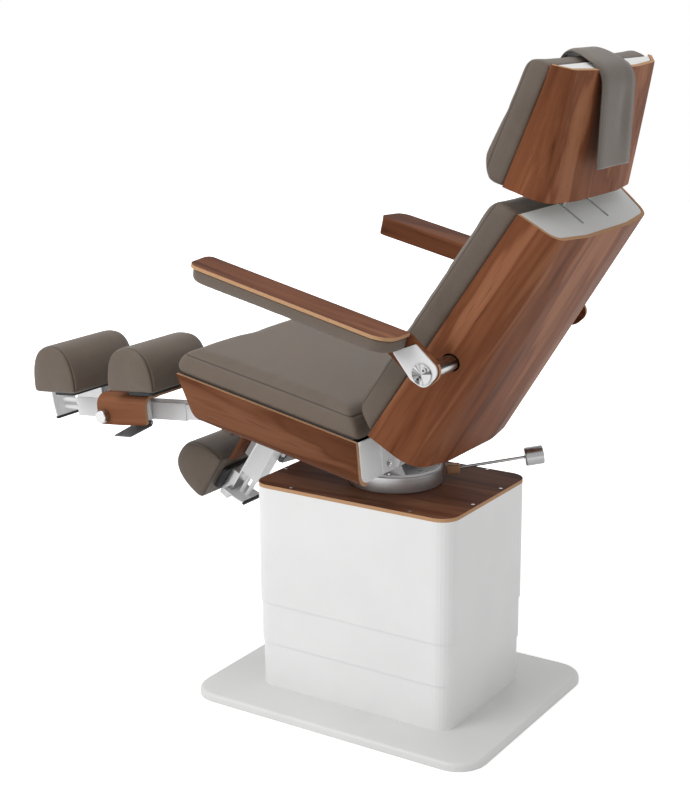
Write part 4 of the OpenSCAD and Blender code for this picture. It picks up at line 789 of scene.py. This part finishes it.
for side in ("left", "right"):
    arm, leg = ARM[side], LEG[side]
    coat.update({
        side + "_arm_rest": walnut(side + "_arm_veneer", arm, 1, arm_edge, 1.02, 1.7 if side == "left" else 5.3),
        side + "_arm_plate": leg_white,
        # the shaft's turned end carries painted reflection: dark and light sectors in its colour stand in for its
        # glints
        side + "_arm_shaft": brushed(side + "_shaft_steel", round_about(SHAFT_END, 0, arm), "bright_steel",
                                     (0.42, 0.42, 0.42), 0.22, painted_glint=painted_glint_sectors(SHAFT_END, 0, arm)),
        side + "_leg_arm": leg_white, side + "_leg_slide": leg_white, side + "_foot_slide": leg_white,
        side + "_calf_bracket": walnut(side + "_bracket_veneer", leg, 1, bracket_edge, 0.9, 2.2),
        side + "_foot_carrier": brushed(side + "_carrier_steel", along(1, leg), "bright_steel"),
        side + "_leg_knob": brushed(side + "_knob_steel", round_about((0, -0.236 - CALF_OUT[side], -0.020), 0, leg),
                                    "bright_steel", (0.50, 0.50, 0.50), 0.24),
        side + "_leg_paddle": paddle_grey,
    })
brass = coat.pop("brake_block")
for node, material in coat.items():
    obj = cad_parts[node]
    obj.data.materials.clear()
    obj.data.materials.append(material)

# Block of the brake, let into the side of the turntable's ring
BLOCK_IN, BLOCK_OUT, BLOCK_HALF, BLOCK_SOFT = 0.022, 0.012, 0.012, 0.0015
BLOCK_LOW, BLOCK_HIGH = 0.5640, 0.5870
brake_pivot = np.array([-0.083054, 0.132613])
radial = brake_pivot - np.array(RING_CENTRE[:2])
radial /= np.linalg.norm(radial)
tangent = np.array([-radial[1], radial[0]])
plan = path_round([[-BLOCK_IN, -BLOCK_HALF], [BLOCK_OUT, -BLOCK_HALF], [BLOCK_OUT, BLOCK_HALF],
                   [-BLOCK_IN, BLOCK_HALF]], [0.003] * 4, 6)
levels = [(BLOCK_LOW, BLOCK_SOFT), (BLOCK_LOW + BLOCK_SOFT, 0.0), (BLOCK_HIGH - BLOCK_SOFT, 0.0),
          (BLOCK_HIGH, BLOCK_SOFT)]
rings = np.array([np.column_stack([brake_pivot + shrunk(plan, d) @ np.array([radial, tangent]),
                                   np.full(len(plan), z)]) for z, d in levels])
points, faces = skin(CHAIR.out(rings))
block = crisp(outward(mesh_object("brake_brass", points, faces, brass)))
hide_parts("brake_block")
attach(block, "lift_top")

# Shells of the backrest and the headrest
BACK_LENGTH, HEAD_LENGTH, PLY = 0.636, 0.267, 0.009
back_wood = bent_shell("back_plywood", BACK, BACK_LENGTH, 0.266, (0.243, 0.126, 0.150), (0.238, 0.094, 0.112),
                       (0.078, 0.046), PLY, walnut("back_veneer", BACK, 2, shell_edge, 1.22))
crisp(bored(back_wood, BACK, 0.05791, 0.27120, 0.021, 0.3))
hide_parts("back_shell")
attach(back_wood, "back")
head_wood = crisp(bent_shell("head_plywood", HEAD, HEAD_LENGTH, 0.257, (0.232, 0.090, 0.108), (0.208, 0.031, 0.045),
                             (0.070, 0.026), PLY, walnut("head_veneer", HEAD, 2, shell_edge, 1.32, 7.7)))
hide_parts("head_shell")
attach(head_wood, "head")

# White plates outside the armrests' paddles
PLATE_SHARES = [[-2.75, 0.75], [-1.05, 1.95], [1.42, 0.66], [0.45, -1.08], [-0.82, -0.76]]
PLATE_ROUND = [0.1, 0.2, 0.75, 0.75, 0.7]
PADDLE = 0.029
for side in ("left", "right"):
    plan = path_round([SHAFT + np.array(q) * PADDLE for q in PLATE_SHARES], [r * PADDLE for r in PLATE_ROUND], 10)
    levels = [(0.008, 0.0), (0.0125, 0.0), (0.0128, 0.0003), (0.013, 0.0008)]
    rings = np.array([np.column_stack([np.full(len(plan), x), shrunk(plan, d)]) for x, d in levels])
    points, faces = skin(ARM[side].out(rings))
    plate = crisp(outward(mesh_object(side + "_shaft_plate", points, faces, leg_white)))
    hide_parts(side + "_arm_plate")
    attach(plate, side + "_arm")

# Armrest pads
for side in ("left", "right"):
    hide = leather(side + "_arm_hide", ARM[side], None, 0.9)
    plan = path_round([[0.009, 0.003], [0.099, 0.017], [0.099, 0.537], [0.009, 0.544]], [0.021, 0.030, 0.046, 0.008])
    plan = shrunk(even(plan, 0.008), 0.001)
    levels = [(-0.0385, 0.010), (-0.0375, 0.006), (-0.0345, 0.0025), (-0.030, 0.0008), (-0.020, 0.0), (-0.0085, 0.0)]
    rings = np.array([np.column_stack([shrunk(plan, d), np.full(len(plan), z)]) for z, d in levels])
    points, faces = skin(ARM[side].out(rings))
    obj = outward(mesh_object(side + "_arm_padding", points, faces, hide))
    stuffed(obj, 0.005, puff(ARM[side], (0, 0, -1), 0.003, 0.0015))
    finer(obj)
    outward(obj)
    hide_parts(side + "_arm_pad")
    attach(obj, side + "_arm")

# Strap and neck pillow
STRAP_PATH = np.array([[-0.086, 0.190], [-0.080, 0.230], [-0.072, 0.253], [-0.058, 0.2665], [-0.032, 0.2700],
                       [0.0, 0.2702], [0.030, 0.2690], [0.043, 0.2655], [0.051, 0.256], [0.069, 0.2067],
                       [0.089, 0.1515], [0.108, 0.0990], [0.1150, 0.0790]])
STRAP_HALF, STRAP_X, STRAP_THICK = 0.086, 0.026, 0.007
FRONT_HALF, FRONT_X = 0.056, -0.030
STRAP_ROWS = 90


def strap_rings(path, half, centre_x, thick):
    """Cross-section carried along a side-view path: flat, thin at both hems and fuller between them.

    The path is evened out and smoothed twice. The front part is narrower and further to the side; over the
    first half of the length, share 3q^2 - 2q^3 of the change has happened. A dent falls off as a bell."""
    s = np.concatenate([[0], np.cumsum(np.linalg.norm(np.diff(path, axis=0), axis=1))])
    t = np.linspace(0, s[-1], STRAP_ROWS)
    for _ in range(2):
        path = np.stack([np.interp(t, s, path[:, 0]), np.interp(t, s, path[:, 1])], -1)
        kernel = np.ones(9) / 9
        inner = np.stack([np.convolve(path[:, k], kernel, "valid") for k in (0, 1)], -1)
        path = np.vstack([path[:4], inner, path[-4:]])
        s = np.concatenate([[0], np.cumsum(np.linalg.norm(np.diff(path, axis=0), axis=1))])
        t = np.linspace(0, s[-1], STRAP_ROWS)
    tangent = np.gradient(path, axis=0)
    tangent /= np.linalg.norm(tangent, axis=1, keepdims=True)
    normal = np.stack([-tangent[:, 1], tangent[:, 0]], -1)
    u = np.linspace(-1, 1, 33)
    top = thick * (0.30 + 0.70 * (1 - np.abs(u) ** 6)) * (1 - 0.12 * np.exp(-((np.abs(u) - 0.86) / 0.05) ** 2))
    share = np.linspace(0, 1, len(path))[:, None]
    dent = 0.0050 * np.exp(-((share - 0.72) / 0.16) ** 2 - ((u[None] + 0.38) / 0.30) ** 2)
    curl = 0.0040 * share * u[None] ** 2
    low = np.full((len(path), len(u)), 0.0006) + curl
    high = top[None] + curl - dent
    ring_n = np.concatenate([high, low[:, ::-1]], 1)
    q = np.clip(share / 0.5, 0, 1)
    rear = q ** 2 * (3 - 2 * q)
    across = np.concatenate([u, u[::-1]])[None]
    ring_x = across * (FRONT_HALF + (half - FRONT_HALF) * rear) + centre_x * rear + FRONT_X * (1 - rear)
    rings = np.empty((*ring_x.shape, 3))
    rings[..., 0] = ring_x
    rings[..., 1] = path[:, :1] + normal[:, :1] * ring_n
    rings[..., 2] = path[:, 1:] + normal[:, 1:] * ring_n
    return rings


def strap_seams(p, at):
    """Distance to the stitch lines along both hems."""
    x, y, z = p.split(at)
    return ((x - STRAP_X).abs() - (STRAP_HALF - 0.007)).abs()


points, faces = skin(HEAD.out(strap_rings(STRAP_PATH, STRAP_HALF, STRAP_X, STRAP_THICK)))
strap = outward(mesh_object("counterweight_strap", points, faces, leather("strap_hide", HEAD, strap_seams, 0.80, 0.10)))
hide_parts("head_strap")
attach(strap, "head")

pillow_outline = path_round([[-0.075, 0.098], [-0.075, 0.1896], [-0.103, 0.1896], [-0.111, 0.150], [-0.099, 0.096]],
                            [0.008, 0.008, 0.009, 0.050, 0.016])
pad("neck_roll", "neck_pillow", "head", HEAD, pillow_outline, 0.120, 0.020, leather("pillow_hide", HEAD),
    puff(HEAD, (0, -1, 0), 0.004, 0.002), voxel=0.005, inset=0.001)

# Rubber strip on the lower edge of both end plates
RUBBER_HALF, END_PLATE_Y = 0.0425, 0.3495
RUBBER_SECTION = np.array([[-0.0055, -0.0625], [0.0035, -0.0625], [0.0035, -0.0555], [-0.0055, -0.0555]])
for side in ("left", "right"):
    x = np.linspace(-1, 1, 9) * RUBBER_HALF
    y0 = -END_PLATE_Y - END_OUT[side]
    rings = np.empty((len(x), 4, 3))
    rings[..., 0] = x[:, None]
    rings[..., 1] = RUBBER_SECTION[:, 0] + y0
    rings[..., 2] = RUBBER_SECTION[:, 1]
    points, faces = skin(LEG[side].out(rings))
    strip = outward(mesh_object(side + "_end_rubber", points, faces, rubber, smooth=False))
    bevel = strip.modifiers.new("soft_edge", "BEVEL")
    bevel.width, bevel.segments = 0.0012, 2
    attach(strip, side + "_end")


# Floor, light and camera
def pale_floor():
    """A pale floor that the camera, gloss and glass see lifted towards white and that keeps the shadow."""
    p = Paint("studio_floor")
    rays = p.node("ShaderNodeLightPath").outputs
    seen = Value(p, rays["Is Camera Ray"]).most(Value(p, rays["Is Glossy Ray"])).most(
        Value(p, rays["Is Transmission Ray"]))
    x, y, z = p.split(p.places.outputs["Object"])
    far = ((x * x + y * y) ** 0.5).step(0.9, 2.4)
    return p.done(Base_Color=(0.86, 0.86, 0.86), Roughness=0.9, Specular_IOR_Level=0.1,
                  Emission_Color=(1, 1, 1), Emission_Strength=seen * (far * 0.55 + 0.50))


floor = mesh_object("studio_floor", [(-9, -9, -0.0005), (9, -9, -0.0005), (9, 9, -0.0005), (-9, 9, -0.0005)],
                    [(0, 1, 2, 3)], pale_floor(), smooth=False)

world = bpy.data.worlds.new("studio")
scene.world = world
world.use_nodes = True
w = world.node_tree
w.nodes.clear()
rays = w.nodes.new("ShaderNodeLightPath")
seen = w.nodes.new("ShaderNodeMath")
seen.operation = "MAXIMUM"
w.links.new(rays.outputs["Is Camera Ray"], seen.inputs[0])
w.links.new(rays.outputs["Is Glossy Ray"], seen.inputs[1])
strength = w.nodes.new("ShaderNodeMapRange")
strength.inputs["To Min"].default_value = 0.62
strength.inputs["To Max"].default_value = 1.0
w.links.new(seen.outputs[0], strength.inputs["Value"])
sky = w.nodes.new("ShaderNodeBackground")
w.links.new(strength.outputs[0], sky.inputs["Strength"])
sky.inputs["Color"].default_value = (1, 1, 1, 1)
out = w.nodes.new("ShaderNodeOutputWorld")
w.links.new(sky.outputs[0], out.inputs[0])


def softbox(name, at, target, size, power):
    """A square area lamp at a point, aimed at another."""
    lamp = bpy.data.lights.new(name, "AREA")
    lamp.shape, lamp.size, lamp.energy = "SQUARE", size, power
    obj = bpy.data.objects.new(name, lamp)
    obj.location = at
    obj.rotation_euler = (Vector(target) - Vector(at)).to_track_quat("-Z", "Y").to_euler()
    scene.collection.objects.link(obj)


softbox("key_light", (3.0, -1.4, 2.8), (0, 0, 0.8), 2.2, 66)
softbox("rear_light", (1.2, 3.4, 2.6), (0, 0.2, 0.8), 2.4, 1)
softbox("top_light", (0.0, -0.4, 4.2), (0, 0, 0.5), 2.6, 28)

# Camera as fitted to the photograph
CAMERA_AT, CAMERA_DEGREES, CAMERA_LENS = (3.09124, 1.87380, 1.70711), (122.982, 14.848, -0.413), 69.665
camera_data = bpy.data.cameras.new("photograph_view")
camera_data.sensor_width = 36
camera_data.lens = CAMERA_LENS
camera = bpy.data.objects.new("photograph_view", camera_data)
scene.collection.objects.link(camera)
azimuth, elevation, roll = (math.radians(v) for v in CAMERA_DEGREES)
back = Vector((math.sin(azimuth) * math.cos(elevation), -math.cos(azimuth) * math.cos(elevation), math.sin(elevation)))
right = Vector((math.cos(azimuth), math.sin(azimuth), 0))
up = back.cross(right)
right, up = right * math.cos(roll) + up * math.sin(roll), up * math.cos(roll) - right * math.sin(roll)
turn = Matrix((right, up, back)).transposed().to_4x4()
camera.matrix_world = Matrix.Translation(CAMERA_AT) @ turn
scene.camera = camera
scene.view_settings.view_transform = "Standard"
